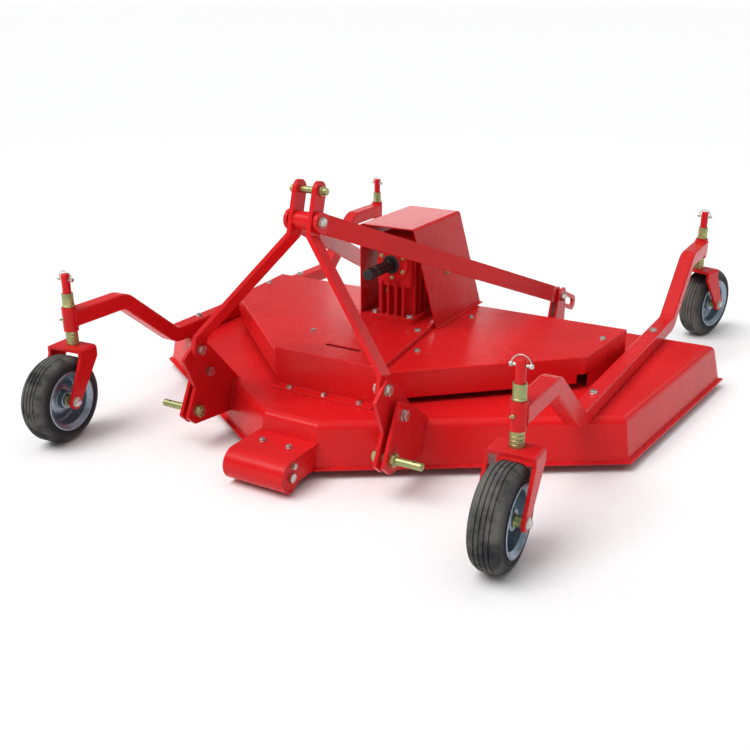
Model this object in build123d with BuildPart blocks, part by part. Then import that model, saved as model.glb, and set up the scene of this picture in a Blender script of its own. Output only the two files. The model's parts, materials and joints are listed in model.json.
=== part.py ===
from build123d import *
import math
import os

os.makedirs("parts", exist_ok=True)

# A three-point-hitch finishing mower: pressed deck on four casters, belt-driven blades under it.
# Millimetres. The origin is on the ground under the middle of the machine; -Y is the tractor side.

# ---- driving dimensions -------------------------------------------------------------------
# Deck
DECK_FRONT_Y = -840          # lip of the short front edge
DECK_FRONT_HALF = 100        # half length of the short front edge
DECK_SHOULDER = (840, -361)  # lip corner between the swept front and the side
DECK_REAR = (926, 428)       # lip corner at the rear
LIP_BOTTOM = 26
LIP_WIDTH = 11
LIP_THICKNESS = 5
DECK_TOP = 154
WALL_FLARE = 10              # degrees
SHEET = 5
DECK_EDGE_RADIUS = 24
OUTLET_HALF = 700            # rear outlet
OUTLET_TOP = 116

# Side rails and caster sleeves
TRACK_HALF = 707
STEM_Y = 910
RAIL_SIZE = 50
RAIL_WALL = 4
RAIL_LOW_BEND_Y = 478
RAIL_HIGH_BEND_Y = 698
RAIL_BEND_RADIUS = 62
RAIL_BOLT_Y = (-336, 290)
SLEEVE_RADIUS = 22
SLEEVE_HEIGHT = 72

# Wheels
WHEEL_RADIUS = 130
TYRE_WIDTH = 85
RIM_RADIUS = 88
HUB_RADIUS = 27
HUB_LENGTH = 62
AXLE_RADIUS = 8
GROOVE_DEPTH = 4

# Casters
STEM_RADIUS = 12.7
RUNNING_GAP = 0.08           # radial clearance of a running fit
SPACER_RADIUS = 18
SPACER_HEIGHT = 21
PLATE_THICKNESS = 10
TYRE_TOP_GAP = 6             # from the tyre to the fork crown
TYRE_SIDE_GAP = 10.5         # from the tyre to each fork leg
FORK_GAP = TYRE_WIDTH + 2 * TYRE_SIDE_GAP
FORK_LEG_WIDTH = 44
CASTER_TRAIL = 77
CROWN_TOP = 2 * WHEEL_RADIUS + TYRE_TOP_GAP + PLATE_THICKNESS
SLEEVE_BOTTOM = CROWN_TOP + 2 * SPACER_HEIGHT + 2
SLEEVE_TOP = SLEEVE_BOTTOM + SLEEVE_HEIGHT
RAIL_ARM_Z = SLEEVE_TOP - 34  # centre line of the level arm
STEM_TOP = SLEEVE_TOP + 100
LINCH_PIN_Z = STEM_TOP - 16
CASTERS = {                  # side of X, side of Y, swivel in degrees from straight
    "front_left": (-1, -1, 4),
    "front_right": (1, -1, 2.4),
    "rear_left": (-1, 1, -12),
    "rear_right": (1, 1, -17),
}

# Belt housing
PLATE_TOP = 272              # centre plate
COVER_TOP = 256
HOUSING_SHEET = 4
HOUSING_FRONT_Y = -618
HOUSING_REAR_Y = 130
HOUSING_FRONT_HALF = 182
HOUSING_REAR_HALF = 90
COVER_CORNER = (638, -199)
COVER_REAR = (667, 111)
COVER_LIFT = 20              # gap under the swept cover wall
COVER_GAP = 1
PLATE_SLOT_Y = -524          # slot through the centre plate, over the belt
PLATE_SLOT_LENGTH = 122
PLATE_SLOT_WIDTH = 15
COVER_BOLT_HOLE = 5.3
GEARBOX_BOLT_HOLE = 6.3

FLANGE_FOOT = 34             # foot of the housing's front wall
FLANGE_BOLTS = [(x, HOUSING_FRONT_Y - FLANGE_FOOT / 2) for x in (-120, 0, 120)]
PLATE_BOLTS = [(-119, -278), (119, -278)]
COVER_BOLTS = [(184, -404), (187, -27), (630, -22)]

# Gearbox and shield
GEARBOX_BOLTS = [(x, y) for x in (-62, 62) for y in (-222, -58)]
GEARBOX_Y = -140
SHAFT_Z = 459
SHAFT_RADIUS = 17.5
SHAFT_TIP_Y = -380
GEARBOX_HALF_WIDTH = 62
GEARBOX_FRONT_Y = -233
FLANGE_TOP = 290
SHIELD_TOP = 581
SHIELD_TOP_HALF = 91
SHIELD_FOOT_HALF = 136
SHIELD_SHEET = 4

# Hitch
HITCH_INNER_X = 306          # inner face of the inner plate
HITCH_PLATE = 10
HITCH_PITCH = 24             # from plate to plate
LOWER_PIN = (-837, 120)      # y, z
LOWER_PIN_RADIUS = 11
LOWER_PIN_END_X = 430
FOOT_BOLT = (-820, 304)
LOWER_BOLT = (-775, 222)
HITCH_BOLT_RADIUS = 8
MAST_LEAN = 16.5             # degrees, rearward
MAST_BOLT_Z = 686
TOP_PIN_Z = 764
TOP_PIN_RADIUS = 9.5
TOP_PIN_HALF = 58
CLEVIS_HALF_GAP = 25
MAST_BAR = 12                # thickness of the mast's flat bar
MAST_BAR_WIDTH = 52
MAST_SPACER_RADIUS = 25      # tube between the clevis ears
FACE_GAP = 0.3               # between flat faces that slide on each other
BRACE_THICKNESS = 10
BRACE_HEIGHT = 54
BRACE_WASHER = 5             # keeps the brace clear of the mast arm's bend
BRACE_FRONT_TAB = 34         # straight length behind the mast bolt
BRACE_REAR_TAB = 78          # straight length ahead of the lug bolt
BRACE_TAIL = 28              # solid end behind the slot
BRACE_REAR_X = 352           # middle of the rear tab
LUG_BOLT = (350, 256)
LUG_PLATE = 8
LUG_GAP = 1.5                # beside the brace, each side
SLOT_RADIUS = 13
MAST_TILT = 22               # degrees, forward

# Front roller
ROLLER_Y = -944
ROLLER_Z = 55
ROLLER_RADIUS = 37
HOOD_RADIUS = 46
HOOD_HALF = 98
HOOD_SHEET = 5

# Belt drive
CENTRE_SPINDLE = (0, -490)
OUTER_SPINDLE = (540, -30)
DRIVE_CENTRE = (0, GEARBOX_Y)
IDLER_CENTRE = (195, -95)
SPINDLE_PITCH = 54
DRIVE_PITCH = 108
IDLER_PITCH = 46
BELT_HALF = 5.5
BELT_Z = 205
BELT_HEIGHT = 13
BLADE_LENGTH = 590
BLADE_WIDTH = 62
BLADE_THICKNESS = 8
BLADE_Z = 66
SPINDLE_RADIUS = 15

# ---- shared shapes ------------------------------------------------------------------------


def save(piece, name):
    """Labels a finished piece and writes its STEP file."""
    piece.part.label = name
    export_step(piece.part, "parts/" + name + ".step")


def hexagon_bolt(radius, head, length, washer=True):
    """A bolt standing on z=0 with its head up and its shank going down."""
    with BuildPart() as bolt:
        base = 0
        if washer:
            Cylinder(radius * 2.0, 2, align=(Align.CENTER, Align.CENTER, Align.MIN))
            base = 2
        with BuildSketch(Plane.XY.offset(base)):
            RegularPolygon(radius=head, side_count=6, major_radius=False)
        extrude(amount=radius * 1.25)
        top = bolt.faces().sort_by(Axis.Z)[-1]
        chamfer(top.edges(), radius * 0.12)
        with BuildSketch(Plane.XY):
            Circle(radius)
        extrude(amount=-length)
    return bolt.part


def strip_outline(route, thickness):
    """Corner points of a strip of even thickness along a route of straight runs."""
    sides = ([], [])
    for i, point in enumerate(route):
        before = Vector(*route[max(i - 1, 0)])
        here = Vector(*point)
        after = Vector(*route[min(i + 1, len(route) - 1)])
        come = (here - before).normalized() if i else (after - here).normalized()
        leave = (after - here).normalized() if i < len(route) - 1 else come
        miter = (come + leave).normalized()
        normal = Vector(-miter.Y, miter.X) * (thickness / 2 / miter.dot(come))
        sides[0].append((here.X + normal.X, here.Y + normal.Y))
        sides[1].append((here.X - normal.X, here.Y - normal.Y))
    return sides[0] + sides[1][::-1]


def bent_bar(plane, route, thickness, width, bores):
    """A flat bar bent at the route's corners, with round ends and holes along X."""
    along = Axis(plane.origin, plane.y_dir)
    low, high = route[0][1], route[-1][1]
    with BuildPart() as bar:
        with BuildSketch(plane) as side_view:
            Polygon(*strip_outline(route, thickness), align=None)
            bends = side_view.vertices().filter_by(lambda v: low + 1 < v.Y < high - 1)
            fillet(bends, 8)
        extrude(amount=width / 2, both=True)
        for end in (bar.faces().sort_by(along)[0], bar.faces().sort_by(along)[-1]):
            fillet(end.edges().filter_by(Axis.X), width / 2 - 0.1)
        for (y, z), x, radius in bores:
            with Locations((x, y, z)):
                Cylinder(radius, 3 * thickness, rotation=(0, 90, 0), mode=Mode.SUBTRACT)
    return bar


def deck_plan(inset):
    """Corner points of the deck plan, the lip's edge moved inwards."""
    sx, sy = DECK_SHOULDER
    rx, ry = DECK_REAR
    right = [(DECK_FRONT_HALF, DECK_FRONT_Y), (sx, sy), (rx, ry)]
    left = [(-x, y) for x, y in reversed(right)]
    with BuildSketch(mode=Mode.PRIVATE) as plan:
        Polygon(*(right + left), align=None)
        if inset:
            offset(amount=-inset, kind=Kind.INTERSECTION)
    return plan.sketch


# ---- deck ---------------------------------------------------------------------------------

with BuildPart() as deck_envelope:
    with BuildSketch(Plane.XY.offset(LIP_BOTTOM)):
        add(deck_plan(LIP_WIDTH))
    extrude(amount=DECK_TOP - LIP_BOTTOM, taper=WALL_FLARE)
    fillet(deck_envelope.faces().sort_by(Axis.Z)[-1].edges(), DECK_EDGE_RADIUS)
    with BuildSketch(Plane.XY.offset(LIP_BOTTOM)):
        add(deck_plan(0))
    extrude(amount=LIP_THICKNESS)

with BuildPart() as cavity:
    with BuildSketch(Plane.XY.offset(LIP_BOTTOM - 1)):
        add(deck_plan(LIP_WIDTH + SHEET))
    extrude(amount=DECK_TOP - SHEET - LIP_BOTTOM + 1, taper=WALL_FLARE)
    fillet(cavity.faces().sort_by(Axis.Z)[-1].edges(), DECK_EDGE_RADIUS - SHEET)

with BuildPart() as deck_shell:
    add(deck_envelope.part)
    add(cavity.part, mode=Mode.SUBTRACT)
    # Rear outlet for the cut grass.
    with BuildSketch(Plane.XY.offset(LIP_BOTTOM - 1)):
        with Locations((0, DECK_REAR[1])):
            Rectangle(2 * OUTLET_HALF, 4 * DECK_EDGE_RADIUS)
    extrude(amount=OUTLET_TOP - LIP_BOTTOM + 1, mode=Mode.SUBTRACT)
    # Holes for the spindle housings.
    with BuildSketch(Plane.XY.offset(DECK_TOP + 1)):
        with Locations(CENTRE_SPINDLE, OUTER_SPINDLE, (-OUTER_SPINDLE[0], OUTER_SPINDLE[1])):
            Circle(45)
    extrude(amount=-SHEET * 3, mode=Mode.SUBTRACT)
    # Holes for the rail bolts and the housing's flange bolts.
    with BuildSketch(Plane.XY.offset(DECK_TOP + 1)):
        with Locations(*[(side * TRACK_HALF, y) for side in (-1, 1) for y in RAIL_BOLT_Y]):
            Circle(6.5)
        with Locations(*FLANGE_BOLTS):
            Circle(COVER_BOLT_HOLE)
    extrude(amount=-SHEET * 3, mode=Mode.SUBTRACT)
save(deck_shell, "deck_shell")

# ---- side rails and sleeves ---------------------------------------------------------------

RAIL_LOW_Z = DECK_TOP + RAIL_SIZE / 2 + 0.2
RAIL_PATH = [
    (-STEM_Y, RAIL_ARM_Z),
    (-RAIL_HIGH_BEND_Y, RAIL_ARM_Z),
    (-RAIL_LOW_BEND_Y, RAIL_LOW_Z),
    (RAIL_LOW_BEND_Y, RAIL_LOW_Z),
    (RAIL_HIGH_BEND_Y, RAIL_ARM_Z),
    (STEM_Y, RAIL_ARM_Z),
]


def side_rail(side):
    x = side * TRACK_HALF
    with BuildPart() as rail:
        with BuildLine(Plane.YZ.offset(x)) as route:
            FilletPolyline(*RAIL_PATH, radius=RAIL_BEND_RADIUS)
        with BuildSketch(Plane(origin=(x, -STEM_Y, RAIL_ARM_Z), x_dir=(1, 0, 0), z_dir=(0, 1, 0))):
            RectangleRounded(RAIL_SIZE, RAIL_SIZE, 6)
            Rectangle(RAIL_SIZE - 2 * RAIL_WALL, RAIL_SIZE - 2 * RAIL_WALL, mode=Mode.SUBTRACT)
        sweep(path=route.wires()[0])
        # The ends are coped round the sleeves.
        with Locations((x, -STEM_Y, RAIL_ARM_Z), (x, STEM_Y, RAIL_ARM_Z)):
            Cylinder(SLEEVE_RADIUS, 2 * RAIL_SIZE, mode=Mode.SUBTRACT)
        # Clearance holes for the deck bolts.
        with Locations(*[(x, y, RAIL_LOW_Z) for y in RAIL_BOLT_Y]):
            Cylinder(6.5, 2 * RAIL_SIZE, mode=Mode.SUBTRACT)
    return rail


for side, name in ((-1, "left"), (1, "right")):
    save(side_rail(side), "side_rail_" + name)

STEM_PLACES = [(sx * TRACK_HALF, sy * STEM_Y) for sx, sy, swivel in CASTERS.values()]

with BuildPart() as caster_sleeves:
    with BuildSketch(Plane.XY.offset(SLEEVE_BOTTOM)):
        with Locations(*STEM_PLACES):
            Circle(SLEEVE_RADIUS)
            Circle(STEM_RADIUS + RUNNING_GAP, mode=Mode.SUBTRACT)
    extrude(amount=SLEEVE_TOP - SLEEVE_BOTTOM)
save(caster_sleeves, "caster_sleeves")

# ---- casters ------------------------------------------------------------------------------


def caster_planes(side_x, side_y, swivel):
    """The stem's plane on the ground, with local +Y along the trail, and the wheel's axle plane."""
    # The wheel stands outwards of its stem: forward at the front, rearward at the back.
    heading = math.radians(90 * side_y + swivel)
    trail = Vector(math.cos(heading), math.sin(heading), 0)
    across = trail.cross(Vector(0, 0, 1))
    stem = Plane(origin=(side_x * TRACK_HALF, side_y * STEM_Y, 0), x_dir=across, z_dir=(0, 0, 1))
    centre = stem.origin + trail * CASTER_TRAIL + Vector(0, 0, WHEEL_RADIUS)
    axle = Plane(origin=centre, x_dir=trail, z_dir=across)
    return stem, axle


def caster_fork():
    """Stem, crown and two legs, welded; built at the origin with the trail along +Y."""
    half = FORK_GAP / 2
    crown_bottom = CROWN_TOP - PLATE_THICKNESS
    with BuildPart() as fork:
        with BuildSketch(Plane.XY.offset(crown_bottom)):
            with Locations((0, 6)):
                Rectangle(FORK_GAP + 2 * PLATE_THICKNESS, 70)
        extrude(amount=PLATE_THICKNESS)
        for side in (-1, 1):
            with BuildSketch(Plane.YZ.offset(side * half if side > 0 else -half - PLATE_THICKNESS)):
                with BuildLine():
                    Polyline((-29, CROWN_TOP), (41, CROWN_TOP), (41, CROWN_TOP - 26),
                             (CASTER_TRAIL + FORK_LEG_WIDTH / 2, WHEEL_RADIUS),
                             (CASTER_TRAIL - FORK_LEG_WIDTH / 2, WHEEL_RADIUS),
                             (-29, CROWN_TOP - 34), close=True)
                make_face()
                with Locations((CASTER_TRAIL, WHEEL_RADIUS)):
                    Circle(FORK_LEG_WIDTH / 2)
                    Circle(AXLE_RADIUS, mode=Mode.SUBTRACT)
            extrude(amount=PLATE_THICKNESS)
        # The crown is bent from one plate, so its two long corners are round.
        bends = fork.edges().filter_by(Axis.Y).group_by(Axis.Z)[-1]
        fillet(bends, PLATE_THICKNESS)
        with BuildSketch(Plane.XY.offset(CROWN_TOP)):
            Circle(STEM_RADIUS)
        extrude(amount=STEM_TOP - CROWN_TOP)
        chamfer(fork.faces().sort_by(Axis.Z)[-1].edges(), 2)
        with Locations((0, 0, LINCH_PIN_Z)):
            Cylinder(4.2, 4 * STEM_RADIUS, rotation=(0, 90, 0), mode=Mode.SUBTRACT)
    return fork.part


def stem_hardware():
    """Loose spacers on the stem and the linch pin with its wire bail over the top."""
    bore = STEM_RADIUS + RUNNING_GAP
    with BuildPart() as hardware:
        for base, height in ((CROWN_TOP, SPACER_HEIGHT), (CROWN_TOP + SPACER_HEIGHT + 0.3, SPACER_HEIGHT),
                             (SLEEVE_TOP + 0.5, 2 * SPACER_HEIGHT)):
            with BuildSketch(Plane.XY.offset(base)):
                Circle(SPACER_RADIUS)
                Circle(bore, mode=Mode.SUBTRACT)
            extrude(amount=height)
        with Locations((0, 0, LINCH_PIN_Z)):
            Cylinder(4, 46, rotation=(0, 90, 0))
        for side in (-1, 1):
            with Locations((side * 25, 0, LINCH_PIN_Z)):
                Cylinder(6, 8, rotation=(0, 90, 0))
        with BuildLine(Plane.XZ) as bail:
            ThreePointArc((-25, LINCH_PIN_Z), (0, LINCH_PIN_Z + 25), (25, LINCH_PIN_Z))
        with BuildSketch(Plane(origin=bail.line @ 0, z_dir=bail.line % 0)):
            Circle(1.8)
        sweep(path=bail.wires()[0])
    return hardware.part


def wheel_axle():
    """Axle bolt with its head, nut and the two hub bushes; local Z is the axle."""
    half = FORK_GAP / 2 + PLATE_THICKNESS
    hub_half = HUB_LENGTH / 2
    with BuildPart() as axle:
        Cylinder(AXLE_RADIUS, 2 * half)
        for side in (-1, 1):
            with BuildSketch(Plane.XY.offset(side * half)):
                RegularPolygon(radius=12, side_count=6, major_radius=False)
            extrude(amount=side * 9)
            with BuildSketch(Plane.XY.offset(side * (hub_half + 0.5))):
                Circle(15)
            extrude(amount=side * (FORK_GAP / 2 - hub_half - 0.6))
        chamfer(axle.faces().sort_by(Axis.Z)[-1].edges(), 1.5)
        chamfer(axle.faces().sort_by(Axis.Z)[0].edges(), 1.5)
    return axle.part


def tyre():
    """Solid rubber tyre with rounded shoulders and ribs round its tread; local Z is the axle."""
    half = TYRE_WIDTH / 2
    seat = RIM_RADIUS - 8
    with BuildPart() as rubber:
        with BuildSketch(Plane.XZ):
            with BuildLine():
                Polyline((seat, -half + 9), (seat, half - 9))
                Line((seat, half - 9), (RIM_RADIUS + 6, half))
                Line((RIM_RADIUS + 6, half), (WHEEL_RADIUS - 24, half))
                Spline((WHEEL_RADIUS - 24, half), (WHEEL_RADIUS - 7, half - 9), (WHEEL_RADIUS, half - 26),
                       tangents=((1, 0), (0, -1)))
                Line((WHEEL_RADIUS, half - 26), (WHEEL_RADIUS, -half + 26))
                Spline((WHEEL_RADIUS, -half + 26), (WHEEL_RADIUS - 7, -half + 9), (WHEEL_RADIUS - 24, -half),
                       tangents=((0, -1), (-1, 0)))
                Line((WHEEL_RADIUS - 24, -half), (RIM_RADIUS + 6, -half))
                Line((RIM_RADIUS + 6, -half), (seat, -half + 9))
            make_face()
            with Locations(*[(WHEEL_RADIUS, z) for z in (-18, -6, 6, 18)]):
                Rectangle(2 * GROOVE_DEPTH, 3, mode=Mode.SUBTRACT)
        revolve(axis=Axis.Z)
    return rubber.part


def rim():
    """Pressed steel rim: well, two flanges, dished disc and hub tube; local Z is the axle."""
    half = TYRE_WIDTH / 2
    hub_half = HUB_LENGTH / 2
    bore = AXLE_RADIUS + RUNNING_GAP
    seat = RIM_RADIUS - 8
    with BuildPart() as steel:
        with BuildSketch(Plane.XZ):
            with BuildLine():
                Polyline((seat - 0.05, -half + 9), (RIM_RADIUS + 2, -half - 1), (RIM_RADIUS - 3, -half - 3),
                         (seat - 7, -half + 8), (seat - 7, half - 8), (RIM_RADIUS - 3, half + 3),
                         (RIM_RADIUS + 2, half + 1), (seat - 0.05, half - 9), close=True)
            make_face()
            with BuildLine():
                Polyline((bore, -hub_half), (HUB_RADIUS, -hub_half), (HUB_RADIUS, -9), (46, -7), (56, 3),
                         (seat - 6, 3), (seat - 6, 8), (54, 8), (44, -2), (HUB_RADIUS, -3),
                         (HUB_RADIUS, hub_half), (bore, hub_half), close=True)
            make_face()
        revolve(axis=Axis.Z)
    return steel.part


FORK = caster_fork()
HARDWARE = stem_hardware()
AXLE = wheel_axle()
TYRE = tyre()
RIM = rim()
for name, (side_x, side_y, swivel) in CASTERS.items():
    stem_plane, axle_plane = caster_planes(side_x, side_y, swivel)
    for label, plane, shape in (("caster_fork_", stem_plane, FORK), ("stem_hardware_", stem_plane, HARDWARE),
                                ("wheel_axle_", axle_plane, AXLE), ("tyre_", axle_plane, TYRE),
                                ("rim_", axle_plane, RIM)):
        with BuildPart() as piece:
            add(plane * shape)
        save(piece, label + name)

# ---- belt housing -------------------------------------------------------------------------


def housing_plan():
    """Outline of the centre plate, narrower at the rear."""
    with BuildSketch(mode=Mode.PRIVATE) as plan:
        Polygon((-HOUSING_FRONT_HALF, HOUSING_FRONT_Y), (HOUSING_FRONT_HALF, HOUSING_FRONT_Y),
                (HOUSING_REAR_HALF, HOUSING_REAR_Y), (-HOUSING_REAR_HALF, HOUSING_REAR_Y), align=None)
    return plan.sketch


with BuildPart() as centre_housing:
    with BuildSketch(Plane.XY.offset(PLATE_TOP)):
        add(housing_plan())
    extrude(amount=-HOUSING_SHEET)
    # The plate's edges are folded down onto the covers.
    with BuildSketch(Plane.XY.offset(PLATE_TOP)):
        add(housing_plan())
        offset(housing_plan(), amount=-HOUSING_SHEET, mode=Mode.SUBTRACT)
    extrude(amount=-(PLATE_TOP - COVER_TOP - 0.3))
    # Front and rear walls stand on the deck.
    for y, half in ((HOUSING_FRONT_Y, HOUSING_FRONT_HALF),
                    (HOUSING_REAR_Y - HOUSING_SHEET, HOUSING_REAR_HALF)):
        with BuildSketch(Plane.XY.offset(DECK_TOP)):
            with Locations((0, y + HOUSING_SHEET / 2)):
                Rectangle(2 * half, HOUSING_SHEET)
        extrude(amount=PLATE_TOP - DECK_TOP - HOUSING_SHEET)
    bends = centre_housing.faces().filter_by(Axis.Z).sort_by(Axis.Z)[-1].edges()
    fillet(bends, HOUSING_SHEET - 0.5)
    with BuildSketch(Plane.XY.offset(DECK_TOP)):
        with Locations((0, HOUSING_FRONT_Y - FLANGE_FOOT / 2)):
            Rectangle(2 * HOUSING_FRONT_HALF - 24, FLANGE_FOOT)
    extrude(amount=HOUSING_SHEET)
    with BuildSketch(Plane.XY.offset(PLATE_TOP + 1)):
        with Locations((0, PLATE_SLOT_Y)):
            SlotOverall(PLATE_SLOT_LENGTH, PLATE_SLOT_WIDTH)
        with Locations(DRIVE_CENTRE):
            Circle(SPINDLE_RADIUS + 14)
        with Locations(*GEARBOX_BOLTS):
            Circle(GEARBOX_BOLT_HOLE)
        with Locations(*PLATE_BOLTS):
            Circle(COVER_BOLT_HOLE)
    extrude(amount=-2 * HOUSING_SHEET, mode=Mode.SUBTRACT)
    with BuildSketch(Plane.XY.offset(DECK_TOP - 1)):
        with Locations(*FLANGE_BOLTS):
            Circle(COVER_BOLT_HOLE)
    extrude(amount=3 * HOUSING_SHEET, mode=Mode.SUBTRACT)
save(centre_housing, "centre_housing")


def cover_plan(grow=0):
    """Outline of the right belt cover; its inner edge lies under the centre plate."""
    tuck = 20
    front = HOUSING_FRONT_Y + HOUSING_SHEET + COVER_GAP
    with BuildSketch(mode=Mode.PRIVATE) as plan:
        Polygon((HOUSING_FRONT_HALF - tuck, front), (HOUSING_FRONT_HALF + COVER_GAP, front), COVER_CORNER,
                COVER_REAR, (HOUSING_REAR_HALF - tuck, COVER_REAR[1]), align=None)
        if grow:
            offset(amount=grow, kind=Kind.INTERSECTION)
    return plan.sketch


COVER_START = (HOUSING_FRONT_HALF + COVER_GAP, HOUSING_FRONT_Y + HOUSING_SHEET + COVER_GAP)
SWEPT_WALL = Plane(
    origin=((COVER_START[0] + COVER_CORNER[0]) / 2, (COVER_START[1] + COVER_CORNER[1]) / 2, DECK_TOP),
    x_dir=(COVER_CORNER[0] - COVER_START[0], COVER_CORNER[1] - COVER_START[1], 0),
    z_dir=(0, 0, 1),
)
SWEPT_LENGTH = math.dist(COVER_START, COVER_CORNER)

with BuildPart() as right_cover:
    with BuildSketch(Plane.XY.offset(COVER_TOP)):
        add(cover_plan())
    extrude(amount=-HOUSING_SHEET)
    with BuildSketch(Plane.XY.offset(COVER_TOP - HOUSING_SHEET)):
        add(cover_plan())
        add(cover_plan(-HOUSING_SHEET), mode=Mode.SUBTRACT)
        # The inner side is open for the belt.
        Polygon((HOUSING_FRONT_HALF - 30, HOUSING_FRONT_Y), (HOUSING_FRONT_HALF + 0.4, HOUSING_FRONT_Y),
                (HOUSING_REAR_HALF - 2, COVER_REAR[1] - 2 * HOUSING_SHEET),
                (HOUSING_REAR_HALF - 30, COVER_REAR[1] - 2 * HOUSING_SHEET), align=None, mode=Mode.SUBTRACT)
    extrude(amount=-(COVER_TOP - HOUSING_SHEET - DECK_TOP))
    rim_edges = right_cover.faces().filter_by(Axis.Z).sort_by(Axis.Z)[-1].edges()
    fillet(rim_edges.filter_by(lambda edge: edge.center().X > HOUSING_FRONT_HALF + 5), HOUSING_SHEET - 0.5)
    # The swept wall stops short of the deck, and the corner beside it is open.
    with BuildSketch(SWEPT_WALL):
        Rectangle(SWEPT_LENGTH + 40, 5 * HOUSING_SHEET)
    extrude(amount=COVER_LIFT, mode=Mode.SUBTRACT)
    with BuildSketch(SWEPT_WALL):
        with Locations((SWEPT_LENGTH / 2, 0)):
            Circle(26)
    extrude(amount=COVER_LIFT * 2.4, mode=Mode.SUBTRACT)
    with BuildSketch(Plane.XY.offset(COVER_TOP + 1)):
        with Locations(*COVER_BOLTS):
            Circle(COVER_BOLT_HOLE)
    extrude(amount=-2 * HOUSING_SHEET, mode=Mode.SUBTRACT)
    # The rear wall is notched where it passes behind the centre plate's own wall.
    with BuildSketch(Plane.XY.offset(DECK_TOP)):
        with Locations((0, COVER_REAR[1])):
            Rectangle(2 * HOUSING_REAR_HALF + 2, 6 * HOUSING_SHEET)
    extrude(amount=COVER_TOP - DECK_TOP - HOUSING_SHEET, mode=Mode.SUBTRACT)
save(right_cover, "belt_cover_right")

with BuildPart() as left_cover:
    add(mirror(right_cover.part, about=Plane.YZ, mode=Mode.PRIVATE))
save(left_cover, "belt_cover_left")


def nut_and_bolt(radius, grip):
    """A bolt with its washer and nut clamping a grip that ends at z=0 below its head."""
    head = radius * 1.55
    with BuildPart() as bolt:
        add(hexagon_bolt(radius, head, grip))
        with BuildSketch(Plane.XY.offset(-grip)):
            RegularPolygon(radius=head, side_count=6, major_radius=False)
        extrude(amount=-radius * 1.6)
    return bolt.part


SMALL_BOLT = nut_and_bolt(5, HOUSING_SHEET)
FLANGE_BOLT = nut_and_bolt(5, HOUSING_SHEET + SHEET)
RAIL_BOLT = nut_and_bolt(6, RAIL_SIZE + SHEET + 0.2)

with BuildPart() as housing_bolts:
    for x, y in COVER_BOLTS:
        with Locations((x, y, COVER_TOP), (-x, y, COVER_TOP)):
            add(SMALL_BOLT)
    with Locations(*[(x, y, PLATE_TOP) for x, y in PLATE_BOLTS]):
        add(SMALL_BOLT)
    with Locations(*[(x, y, DECK_TOP + HOUSING_SHEET) for x, y in FLANGE_BOLTS]):
        add(FLANGE_BOLT)
save(housing_bolts, "housing_bolts")

with BuildPart() as rail_bolts:
    for side in (-1, 1):
        with Locations(*[(side * TRACK_HALF, y, RAIL_LOW_Z + RAIL_SIZE / 2) for y in RAIL_BOLT_Y]):
            add(RAIL_BOLT)
save(rail_bolts, "rail_bolts")

# ---- gearbox, shield and input shaft ------------------------------------------------------

GEARBOX_TOP = 548
GEARBOX_REAR_Y = -42
CASE_WALL = 9
APEX = (0, GEARBOX_Y, SHAFT_Z)
INPUT_GEAR = (50, 26)        # pitch radius, distance from the apex
GEAR_SHARE = 0.66            # inner end of the teeth, as a share of the distance to the apex
BOSS_RADIUS = 46

CASE_MIDDLE_Y = (GEARBOX_FRONT_Y + GEARBOX_REAR_Y) / 2
CASE_LENGTH = GEARBOX_REAR_Y - GEARBOX_FRONT_Y

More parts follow.
